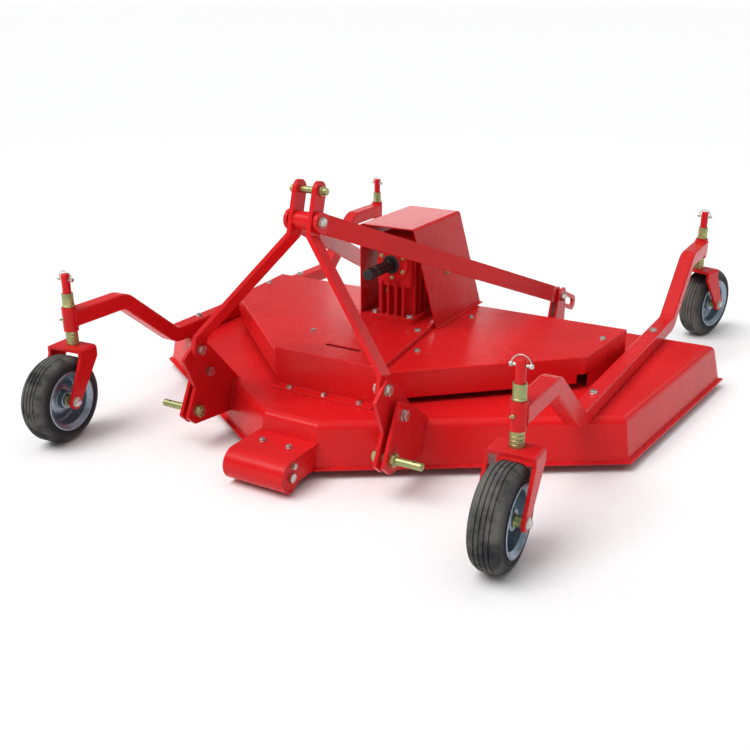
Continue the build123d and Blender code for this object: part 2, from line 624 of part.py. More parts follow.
with BuildPart() as gearbox_case:
    with BuildSketch(Plane.XY.offset(PLATE_TOP)):
        with Locations((0, GEARBOX_Y)):
            RectangleRounded(2 * GEARBOX_HALF_WIDTH + 36, CASE_LENGTH + 12, 16)
    extrude(amount=FLANGE_TOP - PLATE_TOP)
    with BuildSketch(Plane.XY.offset(FLANGE_TOP)):
        with Locations((0, CASE_MIDDLE_Y + 8)):
            RectangleRounded(2 * GEARBOX_HALF_WIDTH - 26, CASE_LENGTH - 44, 18)
    extrude(amount=GEARBOX_TOP - FLANGE_TOP - 14)
    with BuildSketch(Plane.XY.offset(SHAFT_Z - 74)):
        with Locations((0, CASE_MIDDLE_Y + 2)):
            RectangleRounded(2 * GEARBOX_HALF_WIDTH, CASE_LENGTH - 20, 20)
    extrude(amount=GEARBOX_TOP - SHAFT_Z + 74)
    fillet(gearbox_case.faces().sort_by(Axis.Z)[-1].edges(), 12)
    # Cooling ribs down the front and the sides.
    for x in (-40, -14, 14, 40):
        with BuildSketch(Plane.XY.offset(FLANGE_TOP)):
            with Locations((x, GEARBOX_FRONT_Y + 26)):
                Rectangle(7, 44)
        extrude(amount=SHAFT_Z - 60 - FLANGE_TOP)
    for y in (-192, -156, -120, -84):
        with BuildSketch(Plane.XY.offset(FLANGE_TOP)):
            with Locations((0, y)):
                Rectangle(2 * GEARBOX_HALF_WIDTH + 8, 7)
        extrude(amount=GEARBOX_TOP - 34 - FLANGE_TOP)
    # Front boss round the input shaft, and the rear cover boss.
    with BuildSketch(Plane.XZ.offset(-GEARBOX_FRONT_Y - 14)):
        with Locations((0, SHAFT_Z)):
            Circle(BOSS_RADIUS + 8)
    extrude(amount=8)
    with BuildSketch(Plane.XZ.offset(-GEARBOX_FRONT_Y - 14)):
        with Locations((0, SHAFT_Z)):
            Circle(BOSS_RADIUS - 12)
    extrude(amount=16)
    with BuildSketch(Plane.XZ.offset(-GEARBOX_REAR_Y + 14)):
        with Locations((0, SHAFT_Z)):
            Circle(BOSS_RADIUS + 4)
    extrude(amount=-16)
    # Hollow for the bevel gears.
    with BuildSketch(Plane.XY.offset(FLANGE_TOP + 30)):
        with Locations((0, GEARBOX_Y)):
            Rectangle(2 * (GEARBOX_HALF_WIDTH - 18), 80)
    extrude(amount=60, mode=Mode.SUBTRACT)
    with BuildSketch(Plane.XY.offset(SHAFT_Z - 80)):
        with Locations((0, GEARBOX_Y)):
            Rectangle(2 * (GEARBOX_HALF_WIDTH - CASE_WALL), 130)
    extrude(amount=146, mode=Mode.SUBTRACT)
    # Bores of the two shafts.
    with Locations(Plane.XZ.offset(-GEARBOX_Y)):
        with Locations((0, SHAFT_Z)):
            Cylinder(SHAFT_RADIUS + RUNNING_GAP, 170, align=(Align.CENTER, Align.CENTER, Align.MIN),
                     mode=Mode.SUBTRACT)
    with BuildSketch(Plane.XY.offset(PLATE_TOP)):
        with Locations(DRIVE_CENTRE):
            Circle(SPINDLE_RADIUS + RUNNING_GAP)
    extrude(amount=60, mode=Mode.SUBTRACT)
    with BuildSketch(Plane.XY.offset(PLATE_TOP)):
        with Locations(*GEARBOX_BOLTS):
            Circle(GEARBOX_BOLT_HOLE)
    extrude(amount=FLANGE_TOP - PLATE_TOP, mode=Mode.SUBTRACT)
save(gearbox_case, "gearbox_case")

GEARBOX_BOLT = nut_and_bolt(6, FLANGE_TOP - PLATE_TOP + HOUSING_SHEET)

with BuildPart() as gearbox_bolts:
    with Locations(*[(x, y, FLANGE_TOP) for x, y in GEARBOX_BOLTS]):
        add(GEARBOX_BOLT)
save(gearbox_bolts, "gearbox_bolts")


def bevel_blank(pitch, distance, hub):
    """A bevel gear blank about Z, its apex at the origin and its back away from it."""
    near = GEAR_SHARE * distance
    clear = 0.7
    with BuildPart() as blank:
        with BuildSketch(Plane.XZ):
            Polygon((0, near + clear), (GEAR_SHARE * pitch, near + clear), (pitch, distance + clear),
                    (pitch - 5, distance + 11), (hub, distance + 14), (hub, distance + 24),
                    (0, distance + 24), align=None)
        revolve(axis=Axis.Z)
    return blank.part


def spline_section(outer, teeth, depth):
    """Section of a splined shaft."""
    with BuildSketch(mode=Mode.PRIVATE) as section:
        Circle(outer)
        with PolarLocations(outer, teeth, start_angle=180 / teeth):
            Rectangle(2 * depth, outer * 0.42, mode=Mode.SUBTRACT)
    return section.sketch


INPUT_PLANE = Plane(origin=APEX, x_dir=(1, 0, 0), z_dir=(0, -1, 0))
SPLINE_START = -GEARBOX_FRONT_Y + GEARBOX_Y + 22

with BuildPart() as input_shaft:
    with BuildSketch(INPUT_PLANE.offset(40)):
        Circle(SHAFT_RADIUS)
    extrude(amount=SPLINE_START - 40)
    with BuildSketch(INPUT_PLANE.offset(SPLINE_START)):
        add(spline_section(SHAFT_RADIUS, 6, 3))
    extrude(amount=GEARBOX_Y - SHAFT_TIP_Y - SPLINE_START)
    # Locking groove for the drive line's yoke.
    with BuildSketch(INPUT_PLANE.offset(GEARBOX_Y - SHAFT_TIP_Y - 40)):
        Circle(SHAFT_RADIUS + 2)
        Circle(SHAFT_RADIUS - 3.6, mode=Mode.SUBTRACT)
    extrude(amount=9, mode=Mode.SUBTRACT)
    add(INPUT_PLANE * bevel_blank(INPUT_GEAR[0], INPUT_GEAR[1], 30))
save(input_shaft, "input_shaft")

SHIELD_BASE = COVER_TOP + 0.2
SHIELD_FOOT = 14             # width of the foot strip
SHIELD_TOP_Y = (-265, 57)    # ends of the roof
SHIELD_FOOT_Y = (-186, 150)  # ends of the feet

with BuildPart() as gearbox_shield:
    foot = SHIELD_FOOT_HALF
    roof = SHIELD_TOP_HALF
    gauge = SHIELD_SHEET
    with BuildSketch(Plane.XZ.offset(400)):
        Polygon((-foot - SHIELD_FOOT, SHIELD_BASE), (-foot, SHIELD_BASE), (-roof, SHIELD_TOP),
                (roof, SHIELD_TOP), (foot, SHIELD_BASE), (foot + SHIELD_FOOT, SHIELD_BASE),
                (foot + SHIELD_FOOT, SHIELD_BASE + gauge), (foot + gauge, SHIELD_BASE + gauge),
                (roof + gauge, SHIELD_TOP + gauge), (-roof - gauge, SHIELD_TOP + gauge),
                (-foot - gauge, SHIELD_BASE + gauge), (-foot - SHIELD_FOOT, SHIELD_BASE + gauge), align=None)
    extrude(amount=-700)
    fillet(gearbox_shield.edges().filter_by(Axis.Y).group_by(Axis.Z)[-1], 10)
    # Both open ends slope.
    with BuildSketch(Plane.YZ.offset(-200)):
        Polygon((SHIELD_TOP_Y[0], SHIELD_TOP + gauge), (SHIELD_TOP_Y[1], SHIELD_TOP + gauge),
                (SHIELD_FOOT_Y[1], SHIELD_BASE), (SHIELD_FOOT_Y[0], SHIELD_BASE), align=None)
    extrude(amount=400, mode=Mode.INTERSECT)
save(gearbox_shield, "gearbox_shield")

# ---- lower hitch --------------------------------------------------------------------------

INNER_PLATE = [(-850, 82), (-879, 111), (-838, 190), (-880, 287), (-820, 331), (-765, 300), (-640, 160),
               (-600, 100), (-640, 60)]
OUTER_PLATE = [(-850, 82), (-879, 111), (-795, 268), (-715, 228), (-640, 170), (-600, 100), (-640, 60)]
HITCH_OUTER_X = HITCH_INNER_X + HITCH_PITCH

with BuildPart() as hitch_plates:
    for side in (-1, 1):
        for near, outline, bolts in ((HITCH_INNER_X, INNER_PLATE, (LOWER_PIN, LOWER_BOLT, FOOT_BOLT)),
                                     (HITCH_OUTER_X, OUTER_PLATE, (LOWER_PIN, LOWER_BOLT))):
            base = near if side > 0 else -near - HITCH_PLATE
            with BuildSketch(Plane.YZ.offset(base)) as cut_plate:
                Polygon(*outline, align=None)
                fillet(cut_plate.vertices().sort_by(Axis.X)[:3], 7)
                with Locations(bolts[0]):
                    Circle(LOWER_PIN_RADIUS - 1, mode=Mode.SUBTRACT)
                with Locations(*bolts[1:]):
                    Circle(HITCH_BOLT_RADIUS, mode=Mode.SUBTRACT)
            extrude(amount=HITCH_PLATE)
    add(deck_envelope.part, mode=Mode.SUBTRACT)
save(hitch_plates, "hitch_plates")


def cross_bolt(radius, start, end, side, place_yz):
    """A bolt along X from its head's face at end to its nut's face at start, on one side."""
    bolt = nut_and_bolt(radius, abs(end - start))
    plane = Plane(origin=(side * end, place_yz[0], place_yz[1]), x_dir=(0, 1, 0), z_dir=(side, 0, 0))
    return plane * bolt


MAST_INNER_X = HITCH_INNER_X - FACE_GAP - MAST_BAR
LUG_INNER_X = BRACE_REAR_X - BRACE_THICKNESS / 2 - LUG_GAP - LUG_PLATE
LUG_OUTER_X = BRACE_REAR_X + BRACE_THICKNESS / 2 + LUG_GAP + LUG_PLATE

with BuildPart() as hitch_bolts:
    for side in (-1, 1):
        add(cross_bolt(HITCH_BOLT_RADIUS, MAST_INNER_X - 0.4, HITCH_INNER_X + HITCH_PLATE, side, FOOT_BOLT))
        add(cross_bolt(HITCH_BOLT_RADIUS, HITCH_INNER_X, HITCH_OUTER_X + HITCH_PLATE, side, LOWER_BOLT))
        add(cross_bolt(HITCH_BOLT_RADIUS, LUG_INNER_X, LUG_OUTER_X, side, LUG_BOLT))
save(hitch_bolts, "hitch_bolts")

with BuildPart() as lower_hitch_pins:
    collar_x = HITCH_OUTER_X + HITCH_PLATE
    for side in (-1, 1):
        at = Plane(origin=(0, LOWER_PIN[0], LOWER_PIN[1]), x_dir=(0, 1, 0), z_dir=(side, 0, 0))
        with BuildSketch(at.offset(HITCH_INNER_X - 18)):
            RegularPolygon(radius=15, side_count=6, major_radius=False)
        extrude(amount=18)
        with BuildSketch(at.offset(HITCH_INNER_X - 22)):
            Circle(LOWER_PIN_RADIUS - 1)
        extrude(amount=collar_x - HITCH_INNER_X + 22)
        with BuildSketch(at.offset(HITCH_INNER_X + HITCH_PLATE)):
            Circle(14)
        extrude(amount=HITCH_PITCH - HITCH_PLATE)
        with BuildSketch(at.offset(collar_x)):
            RegularPolygon(radius=17, side_count=6, major_radius=False)
        extrude(amount=12)
        with BuildSketch(at.offset(collar_x)):
            Circle(LOWER_PIN_RADIUS)
        extrude(amount=LOWER_PIN_END_X - collar_x)
        ends = lower_hitch_pins.faces().filter_by(Axis.X).sort_by(Axis.X)
        chamfer((ends[-1] if side > 0 else ends[0]).edges(), 2)
        with Locations((side * (LOWER_PIN_END_X - 24), LOWER_PIN[0], LOWER_PIN[1])):
            Cylinder(5.5, 4 * LOWER_PIN_RADIUS, mode=Mode.SUBTRACT)
save(lower_hitch_pins, "lower_hitch_pins")

# ---- mast ---------------------------------------------------------------------------------

LEAN = math.radians(MAST_LEAN)
MAST_PLANE = Plane(origin=(0, FOOT_BOLT[0], FOOT_BOLT[1]), x_dir=(1, 0, 0),
                   z_dir=(0, -math.cos(LEAN), math.sin(LEAN)))
MAST_BOLT_V = (MAST_BOLT_Z - FOOT_BOLT[1]) / math.cos(LEAN)
TOP_PIN_V = (TOP_PIN_Z - FOOT_BOLT[1]) / math.cos(LEAN)
MAST_BOLT = (FOOT_BOLT[0] + MAST_BOLT_V * math.sin(LEAN), MAST_BOLT_Z)
TOP_PIN = (FOOT_BOLT[0] + TOP_PIN_V * math.sin(LEAN), TOP_PIN_Z)
BAR_END = MAST_BAR_WIDTH / 2
FOOT_TAB = 36                # straight length above the foot bolt
CLEVIS_TAB = 40              # straight length below the mast bolt


def mast_arm(side):
    """One flat bar bent twice: foot tab, leg and clevis ear."""
    foot_x = side * (MAST_INNER_X + MAST_BAR / 2)
    ear_x = side * (CLEVIS_HALF_GAP + MAST_BAR / 2)
    route = [(foot_x, -BAR_END), (foot_x, FOOT_TAB), (ear_x, MAST_BOLT_V - CLEVIS_TAB),
             (ear_x, TOP_PIN_V + BAR_END)]
    bores = [(FOOT_BOLT, foot_x, HITCH_BOLT_RADIUS + RUNNING_GAP), (MAST_BOLT, ear_x, HITCH_BOLT_RADIUS),
             (TOP_PIN, ear_x, TOP_PIN_RADIUS)]
    return bent_bar(MAST_PLANE, route, MAST_BAR, MAST_BAR_WIDTH, bores)


for side, name in ((-1, "left"), (1, "right")):
    save(mast_arm(side), "mast_arm_" + name)

TOP_EAR = CLEVIS_HALF_GAP + MAST_BAR
BRACE_INNER_X = TOP_EAR + BRACE_WASHER + FACE_GAP
BRACE_OUTER_X = BRACE_INNER_X + BRACE_THICKNESS

with BuildPart() as mast_bolt:
    add(cross_bolt(HITCH_BOLT_RADIUS, -BRACE_OUTER_X - FACE_GAP, BRACE_OUTER_X + FACE_GAP, 1, MAST_BOLT))
    for start, length, radius in ((-CLEVIS_HALF_GAP, 2 * CLEVIS_HALF_GAP, MAST_SPACER_RADIUS),
                                  (TOP_EAR, BRACE_WASHER, 2 * HITCH_BOLT_RADIUS),
                                  (-TOP_EAR - BRACE_WASHER, BRACE_WASHER, 2 * HITCH_BOLT_RADIUS)):
        with BuildSketch(Plane.YZ.offset(start)):
            with Locations(MAST_BOLT):
                Circle(radius)
                Circle(HITCH_BOLT_RADIUS, mode=Mode.SUBTRACT)
        extrude(amount=length)
save(mast_bolt, "mast_bolt")

with BuildPart() as top_link_pin:
    with BuildSketch(Plane.YZ.offset(-TOP_PIN_HALF)):
        with Locations(TOP_PIN):
            Circle(TOP_PIN_RADIUS)
    extrude(amount=2 * TOP_PIN_HALF)
    chamfer(top_link_pin.faces().filter_by(Axis.X).edges(), 1.5)
    with BuildSketch(Plane.YZ.offset(TOP_EAR + FACE_GAP)):
        with Locations(TOP_PIN):
            Circle(13)
    extrude(amount=7)
    with Locations((-TOP_PIN_HALF + 10, TOP_PIN[0], TOP_PIN[1])):
        Cylinder(3, 4 * TOP_PIN_RADIUS, mode=Mode.SUBTRACT)
save(top_link_pin, "top_link_pin")

# ---- rear braces and their lugs -----------------------------------------------------------

DROP = math.atan2(MAST_BOLT[1] - LUG_BOLT[1], LUG_BOLT[0] - MAST_BOLT[0])
BRACE_LENGTH = math.dist(MAST_BOLT, LUG_BOLT)
BRACE_PLANE = Plane(origin=(0, MAST_BOLT[0], MAST_BOLT[1]), x_dir=(1, 0, 0),
                    z_dir=(0, math.sin(DROP), math.cos(DROP)))


def mast_bolt_at(tilt):
    """Place of the mast bolt when the mast has tilted forward by some radians."""
    y = MAST_BOLT[0] - FOOT_BOLT[0]
    z = MAST_BOLT[1] - FOOT_BOLT[1]
    return (FOOT_BOLT[0] + y * math.cos(tilt) - z * math.sin(tilt),
            FOOT_BOLT[1] + y * math.sin(tilt) + z * math.cos(tilt))


SLOT_TRAVEL = math.dist(mast_bolt_at(math.radians(MAST_TILT)), LUG_BOLT) - BRACE_LENGTH
BRACE_END = BRACE_LENGTH + SLOT_TRAVEL + SLOT_RADIUS + BRACE_TAIL


def rear_brace(side):
    """Flat bar from the mast bolt to the lug, with a long slot that lets the mast float."""
    front_x = side * (BRACE_INNER_X + BRACE_THICKNESS / 2)
    rear_x = side * BRACE_REAR_X
    route = [(front_x, -BRACE_HEIGHT / 2), (front_x, BRACE_FRONT_TAB),
             (rear_x, BRACE_LENGTH - BRACE_REAR_TAB), (rear_x, BRACE_END)]
    bores = [(MAST_BOLT, front_x, HITCH_BOLT_RADIUS + RUNNING_GAP)]
    bar = bent_bar(BRACE_PLANE, route, BRACE_THICKNESS, BRACE_HEIGHT, bores)
    slot_plane = Plane(origin=(rear_x - BRACE_THICKNESS, LUG_BOLT[0], LUG_BOLT[1]), x_dir=BRACE_PLANE.y_dir,
                       z_dir=(1, 0, 0))
    with BuildPart() as brace:
        add(bar.part)
        with BuildSketch(slot_plane):
            with Locations((SLOT_TRAVEL / 2, 0)):
                SlotOverall(SLOT_TRAVEL + 2 * SLOT_RADIUS, 2 * SLOT_RADIUS)
        extrude(amount=2 * BRACE_THICKNESS, mode=Mode.SUBTRACT)
    return brace


for side, name in ((-1, "left"), (1, "right")):
    save(rear_brace(side), "rear_brace_" + name)

LUG_OUTLINE = [(292, 100), (292, 190), (322, 286), (378, 286), (388, 250), (388, 100)]

with BuildPart() as rear_lugs:
    for side in (-1, 1):
        for near in (LUG_INNER_X, LUG_OUTER_X - LUG_PLATE):
            base = near if side > 0 else -near - LUG_PLATE
            with BuildSketch(Plane.YZ.offset(base)) as lug:
                Polygon(*LUG_OUTLINE, align=None)
                fillet(lug.vertices().group_by(Axis.Y)[-1], 14)
                with Locations(LUG_BOLT):
                    Circle(HITCH_BOLT_RADIUS, mode=Mode.SUBTRACT)
            extrude(amount=LUG_PLATE)
    add(deck_envelope.part, mode=Mode.SUBTRACT)
save(rear_lugs, "rear_lugs")

# ---- front roller -------------------------------------------------------------------------

HOOD_AXIS = (ROLLER_Y, ROLLER_Z)
HOOD_TOP = ROLLER_Z + HOOD_RADIUS
ROLLER_DROP = 3              # the roller hangs a little below its hood
ROLLER_AXIS = (ROLLER_Y, ROLLER_Z - ROLLER_DROP)
HOOD_END = HOOD_HALF - 4      # outer faces of the inset end plates
ROLLER_HALF = HOOD_END - HOOD_SHEET - 2
HOOD_TOP_BOLTS = [(x, ROLLER_Y + 66) for x in (-44, 44)]
HOOD_END_BOLT = (ROLLER_Y + 12, ROLLER_Z + 26)

with BuildPart() as roller_hood:
    # Sheet rolled over the front, flat on top and bolted to the deck.
    with BuildSketch(Plane.YZ.offset(-HOOD_HALF)):
        with Locations(HOOD_AXIS):
            Circle(HOOD_RADIUS)
            Circle(HOOD_RADIUS - HOOD_SHEET, mode=Mode.SUBTRACT)
        with Locations((ROLLER_Y + HOOD_RADIUS, ROLLER_Z)):
            Rectangle(2 * HOOD_RADIUS, 3 * HOOD_RADIUS, mode=Mode.SUBTRACT)
        Polygon((ROLLER_Y - 1, HOOD_TOP), (ROLLER_Y - 1, HOOD_TOP - HOOD_SHEET),
                (DECK_FRONT_Y + 60, HOOD_TOP - HOOD_SHEET), (DECK_FRONT_Y + 60, HOOD_TOP), align=None)
    extrude(amount=2 * HOOD_HALF)
    for base in (-HOOD_END, HOOD_END - HOOD_SHEET):
        with BuildSketch(Plane.YZ.offset(base)):
            with Locations(HOOD_AXIS):
                Circle(HOOD_RADIUS - 1)
            Polygon((ROLLER_Y, HOOD_TOP - 1), (DECK_FRONT_Y + 60, HOOD_TOP - 1),
                    (DECK_FRONT_Y + 60, LIP_BOTTOM), (DECK_FRONT_Y, LIP_BOTTOM),
                    (ROLLER_Y + 34, ROLLER_Z - 29), (ROLLER_Y, ROLLER_Z), align=None)
            with Locations(ROLLER_AXIS):
                Circle(AXLE_RADIUS, mode=Mode.SUBTRACT)
            with Locations(HOOD_END_BOLT):
                Circle(5, mode=Mode.SUBTRACT)
        extrude(amount=HOOD_SHEET)
    with Locations(*[(x, y, HOOD_TOP) for x, y in HOOD_TOP_BOLTS]):
        Cylinder(5, 4 * HOOD_SHEET, mode=Mode.SUBTRACT)
    # Back flange against the deck's front wall.
    add(deck_envelope.part, mode=Mode.SUBTRACT)
save(roller_hood, "roller_hood")

with BuildPart() as roller_shaft:
    axis_plane = Plane(origin=(0, ROLLER_AXIS[0], ROLLER_AXIS[1]), x_dir=(0, 1, 0), z_dir=(1, 0, 0))
    with BuildSketch(axis_plane.offset(-HOOD_END)):
        Circle(AXLE_RADIUS)
    extrude(amount=2 * HOOD_END)
    for side in (-1, 1):
        with BuildSketch(axis_plane.offset(side * HOOD_END)):
            RegularPolygon(radius=12, side_count=6, major_radius=False)
        extrude(amount=side * 9)
        spot = Plane(origin=(side * HOOD_END, *HOOD_END_BOLT), x_dir=(0, 1, 0), z_dir=(side, 0, 0))
        add(spot * hexagon_bolt(5, 8, HOOD_SHEET))
    with Locations(*[(x, y, HOOD_TOP) for x, y in HOOD_TOP_BOLTS]):
        add(hexagon_bolt(5, 8, HOOD_SHEET))
save(roller_shaft, "roller_shaft")

with BuildPart() as front_roller:
    with BuildSketch(axis_plane.offset(-ROLLER_HALF)):
        Circle(ROLLER_RADIUS)
        Circle(AXLE_RADIUS + RUNNING_GAP, mode=Mode.SUBTRACT)
    extrude(amount=2 * ROLLER_HALF)
    chamfer(front_roller.faces().filter_by(Axis.X).edges().filter_by(lambda e: e.length > 150), 2)
save(front_roller, "front_roller")

# ---- belt drive and blades ----------------------------------------------------------------

LEFT_SPINDLE = (-OUTER_SPINDLE[0], OUTER_SPINDLE[1])
SPINDLES = {"left": LEFT_SPINDLE, "centre": CENTRE_SPINDLE, "right": OUTER_SPINDLE}
LEFT_IDLER = (-IDLER_CENTRE[0], IDLER_CENTRE[1])
PULLEY_HALF = 12
GROOVE_HALF = 7.2
SHAFT_TOP = BELT_Z + PULLEY_HALF + 8
BLADE_TOP = BLADE_Z + BLADE_THICKNESS
EDGE_LENGTH = 170
TAIL_LENGTH = 105
TAIL_RISE = 16
TAIL_WIDTH = 14
EDGE_WIDTH = 16
HOUSING_RADIUS = 40
SPINDLE_FLANGE = 72


def pulley_section(pitch, bore):
    """Half section of a grooved pulley about its own axis, centred on the belt's height."""
    rim_radius = pitch + BELT_HALF + 1
    floor = pitch - BELT_HALF - 0.5
    with BuildSketch(Plane.XZ, mode=Mode.PRIVATE) as section:
        Polygon((bore, -PULLEY_HALF), (rim_radius, -PULLEY_HALF), (rim_radius, -GROOVE_HALF - 2),
                (floor, -GROOVE_HALF), (floor, GROOVE_HALF), (rim_radius, GROOVE_HALF + 2),
                (rim_radius, PULLEY_HALF), (bore, PULLEY_HALF), align=None)
    return section.sketch


def pulley(pitch, bore):
    """A grooved pulley with its axis on Z."""
    with BuildPart() as wheel:
        with BuildSketch(Plane.XZ):
            add(pulley_section(pitch, bore))
        revolve(axis=Axis.Z)
        if pitch > 80:
            with PolarLocations((pitch + bore) / 2, 6):
                Cylinder(13, 4 * PULLEY_HALF, mode=Mode.SUBTRACT)
    return wheel.part


with BuildPart() as spindle_housings:
    for x, y in SPINDLES.values():
        with BuildSketch(Plane.XY.offset(DECK_TOP)):
            with Locations((x, y)):
                Circle(SPINDLE_FLANGE)
        extrude(amount=10)
        with BuildSketch(Plane.XY.offset(BLADE_TOP + 26)):
            with Locations((x, y)):
                Circle(HOUSING_RADIUS)
        extrude(amount=BELT_Z - PULLEY_HALF - 6 - BLADE_Z - BLADE_THICKNESS - 26)
        with BuildSketch(Plane.XY.offset(BLADE_Z)):
            with Locations((x, y)):
                Circle(SPINDLE_RADIUS + RUNNING_GAP)
        extrude(amount=BELT_Z, mode=Mode.SUBTRACT)
        # Clamp bolts of the flange.
        with Locations((x, y, DECK_TOP + 10)):
            with PolarLocations(SPINDLE_FLANGE - 14, 6, start_angle=30):
                add(hexagon_bolt(5, 8, 1, washer=False))
save(spindle_housings, "spindle_housings")

with BuildPart() as spindle:
    with BuildSketch(Plane.XY.offset(BLADE_TOP)):
        Circle(SPINDLE_RADIUS)
    extrude(amount=SHAFT_TOP - BLADE_Z - BLADE_THICKNESS)
    with BuildSketch(Plane.XY.offset(BLADE_TOP)):
        Circle(30)
    extrude(amount=22)
    with BuildSketch(Plane.XY.offset(BLADE_Z - 2)):
        Circle(10)
    extrude(amount=BLADE_THICKNESS + 4)
    with BuildSketch(Plane.XY.offset(BLADE_Z)):
        Circle(26)
    extrude(amount=-4)
    with BuildSketch(Plane.XY.offset(BLADE_Z - 4)):
        RegularPolygon(radius=15, side_count=6, major_radius=False)
    extrude(amount=-12)

SPINDLE_PULLEY = pulley(SPINDLE_PITCH, SPINDLE_RADIUS)

with BuildPart() as blade:
    with BuildSketch(Plane.XY.offset(BLADE_Z)):
        Rectangle(BLADE_LENGTH, BLADE_WIDTH)
        Circle(10, mode=Mode.SUBTRACT)
    extrude(amount=BLADE_THICKNESS)
    for side in (-1, 1):
        # Ground leading edge and a lifted tail at each tip.
        lead = side * BLADE_WIDTH / 2
        with BuildSketch(Plane.YZ.offset(side * BLADE_LENGTH / 2)):
            Polygon((lead, BLADE_Z + 1), (lead - side * EDGE_WIDTH, BLADE_TOP + 0.1), (lead, BLADE_TOP + 1),
                    align=None)
        extrude(amount=-side * EDGE_LENGTH, mode=Mode.SUBTRACT)
        with BuildSketch(Plane.YZ.offset(side * BLADE_LENGTH / 2)):
            Polygon((side * TAIL_WIDTH - lead, BLADE_Z), (side * TAIL_WIDTH - lead, BLADE_TOP),
                    (-lead, BLADE_TOP + TAIL_RISE),
                    (-lead - side * 3, BLADE_TOP + TAIL_RISE - BLADE_THICKNESS + 1), align=None)
        extrude(amount=-side * TAIL_LENGTH)

for name, (x, y) in SPINDLES.items():
    with BuildPart() as turned:
        with Locations((x, y, 0)):
            add(spindle.part)
        with Locations((x, y, BELT_Z)):
            add(SPINDLE_PULLEY)
    save(turned, "blade_spindle_" + name)
    with BuildPart() as bar:
        with Locations((x, y, 0)):
            add(blade.part)
    save(bar, "blade_" + name)

OUTPUT_GEAR = (INPUT_GEAR[1], INPUT_GEAR[0])
OUTPUT_PLANE = Plane(origin=APEX, x_dir=(1, 0, 0), z_dir=(0, 0, -1))

with BuildPart() as drive_pulley:
    with Locations((*DRIVE_CENTRE, BELT_Z)):
        add(pulley(DRIVE_PITCH, SPINDLE_RADIUS))
    with BuildSketch(Plane.XY.offset(BELT_Z - PULLEY_HALF - 6)):
        with Locations(DRIVE_CENTRE):
            Circle(SPINDLE_RADIUS)
    extrude(amount=SHAFT_Z - OUTPUT_GEAR[1] - 20 - BELT_Z + PULLEY_HALF + 6)
    add(OUTPUT_PLANE * bevel_blank(OUTPUT_GEAR[0], OUTPUT_GEAR[1], 18))
save(drive_pulley, "drive_pulley")

BELT_STOPS = [(CENTRE_SPINDLE, SPINDLE_PITCH), (OUTER_SPINDLE, SPINDLE_PITCH), (IDLER_CENTRE, -IDLER_PITCH),
              (DRIVE_CENTRE, DRIVE_PITCH), (LEFT_IDLER, -IDLER_PITCH), (LEFT_SPINDLE, SPINDLE_PITCH)]


def tangent(first, second):
    """End points of the belt's straight run between two pulleys; an outside pulley is negative."""
    (x0, y0), r0 = first
    (x1, y1), r1 = second
    span = math.dist((x0, y0), (x1, y1))
    heading = math.atan2(y1 - y0, x1 - x0) - math.asin((r1 - r0) / span)
    left = (-math.sin(heading), math.cos(heading))
    return (x0 - left[0] * r0, y0 - left[1] * r0), (x1 - left[0] * r1, y1 - left[1] * r1)


RUNS = [tangent(BELT_STOPS[i], BELT_STOPS[(i + 1) % len(BELT_STOPS)]) for i in range(len(BELT_STOPS))]


def arc_middle(stop, enter, leave):
    """Middle of the belt's arc round one pulley."""
    (x, y), radius = stop
    begin = math.atan2(enter[1] - y, enter[0] - x)
    end = math.atan2(leave[1] - y, leave[0] - x)
    turn = (end - begin) % (2 * math.pi)
    if radius < 0:
        turn -= 2 * math.pi
    middle = begin + turn / 2
    return (x + abs(radius) * math.cos(middle), y + abs(radius) * math.sin(middle))


with BuildPart() as drive_belt:
    with BuildSketch(Plane.XY.offset(BELT_Z - BELT_HEIGHT / 2)) as loop:
        with BuildLine():
            for i, stop in enumerate(BELT_STOPS):
                enter = RUNS[i - 1][1]
                leave = RUNS[i][0]
                ThreePointArc(enter, arc_middle(stop, enter, leave), leave)
                Line(*RUNS[i])
        make_face()
        inside = offset(amount=-BELT_HALF, mode=Mode.PRIVATE)
        offset(amount=BELT_HALF)
        add(inside, mode=Mode.SUBTRACT)
    extrude(amount=BELT_HEIGHT)
save(drive_belt, "drive_belt")


def idler():
    """A flat idler pulley with its axis on Z."""
    face = IDLER_PITCH - BELT_HALF - 0.5
    with BuildPart() as wheel:
        with BuildSketch(Plane.XZ):
            Polygon((10 + RUNNING_GAP, -9), (face, -9), (face, 9), (10 + RUNNING_GAP, 9), align=None)
        revolve(axis=Axis.Z)
        chamfer(wheel.edges().filter_by(GeomType.CIRCLE).group_by(lambda edge: edge.radius)[-1], 1)
    return wheel.part


IDLER = idler()
for name, (x, y) in (("left", LEFT_IDLER), ("right", IDLER_CENTRE)):
    with BuildPart() as wheel:
        with Locations((x, y, BELT_Z)):
            add(IDLER)
    save(wheel, "idler_" + name)

ARM_PIVOT = (IDLER_CENTRE[0] + 80, IDLER_CENTRE[1] - 80)
ARM_BASE = DECK_TOP + 12
ARM_THICKNESS = 8
POST_RADIUS = 10
POST_TOP = BELT_Z + 9 + 8

with BuildPart() as idler_arm:
    with BuildSketch(Plane.XY.offset(ARM_BASE)):
        with Locations(IDLER_CENTRE, ARM_PIVOT):
            Circle(18)
        make_hull()
        with Locations(ARM_PIVOT):
            Circle(POST_RADIUS + RUNNING_GAP, mode=Mode.SUBTRACT)
    extrude(amount=ARM_THICKNESS)
    with BuildSketch(Plane.XY.offset(ARM_BASE + ARM_THICKNESS)):
        with Locations(IDLER_CENTRE):
            Circle(POST_RADIUS)
    extrude(amount=POST_TOP - ARM_BASE - ARM_THICKNESS)
    with BuildSketch(Plane.XY.offset(ARM_BASE + ARM_THICKNESS)):
        with Locations(IDLER_CENTRE):
            Circle(POST_RADIUS + 5)
    extrude(amount=BELT_Z - 9.5 - ARM_BASE - ARM_THICKNESS)
save(idler_arm, "idler_arm")

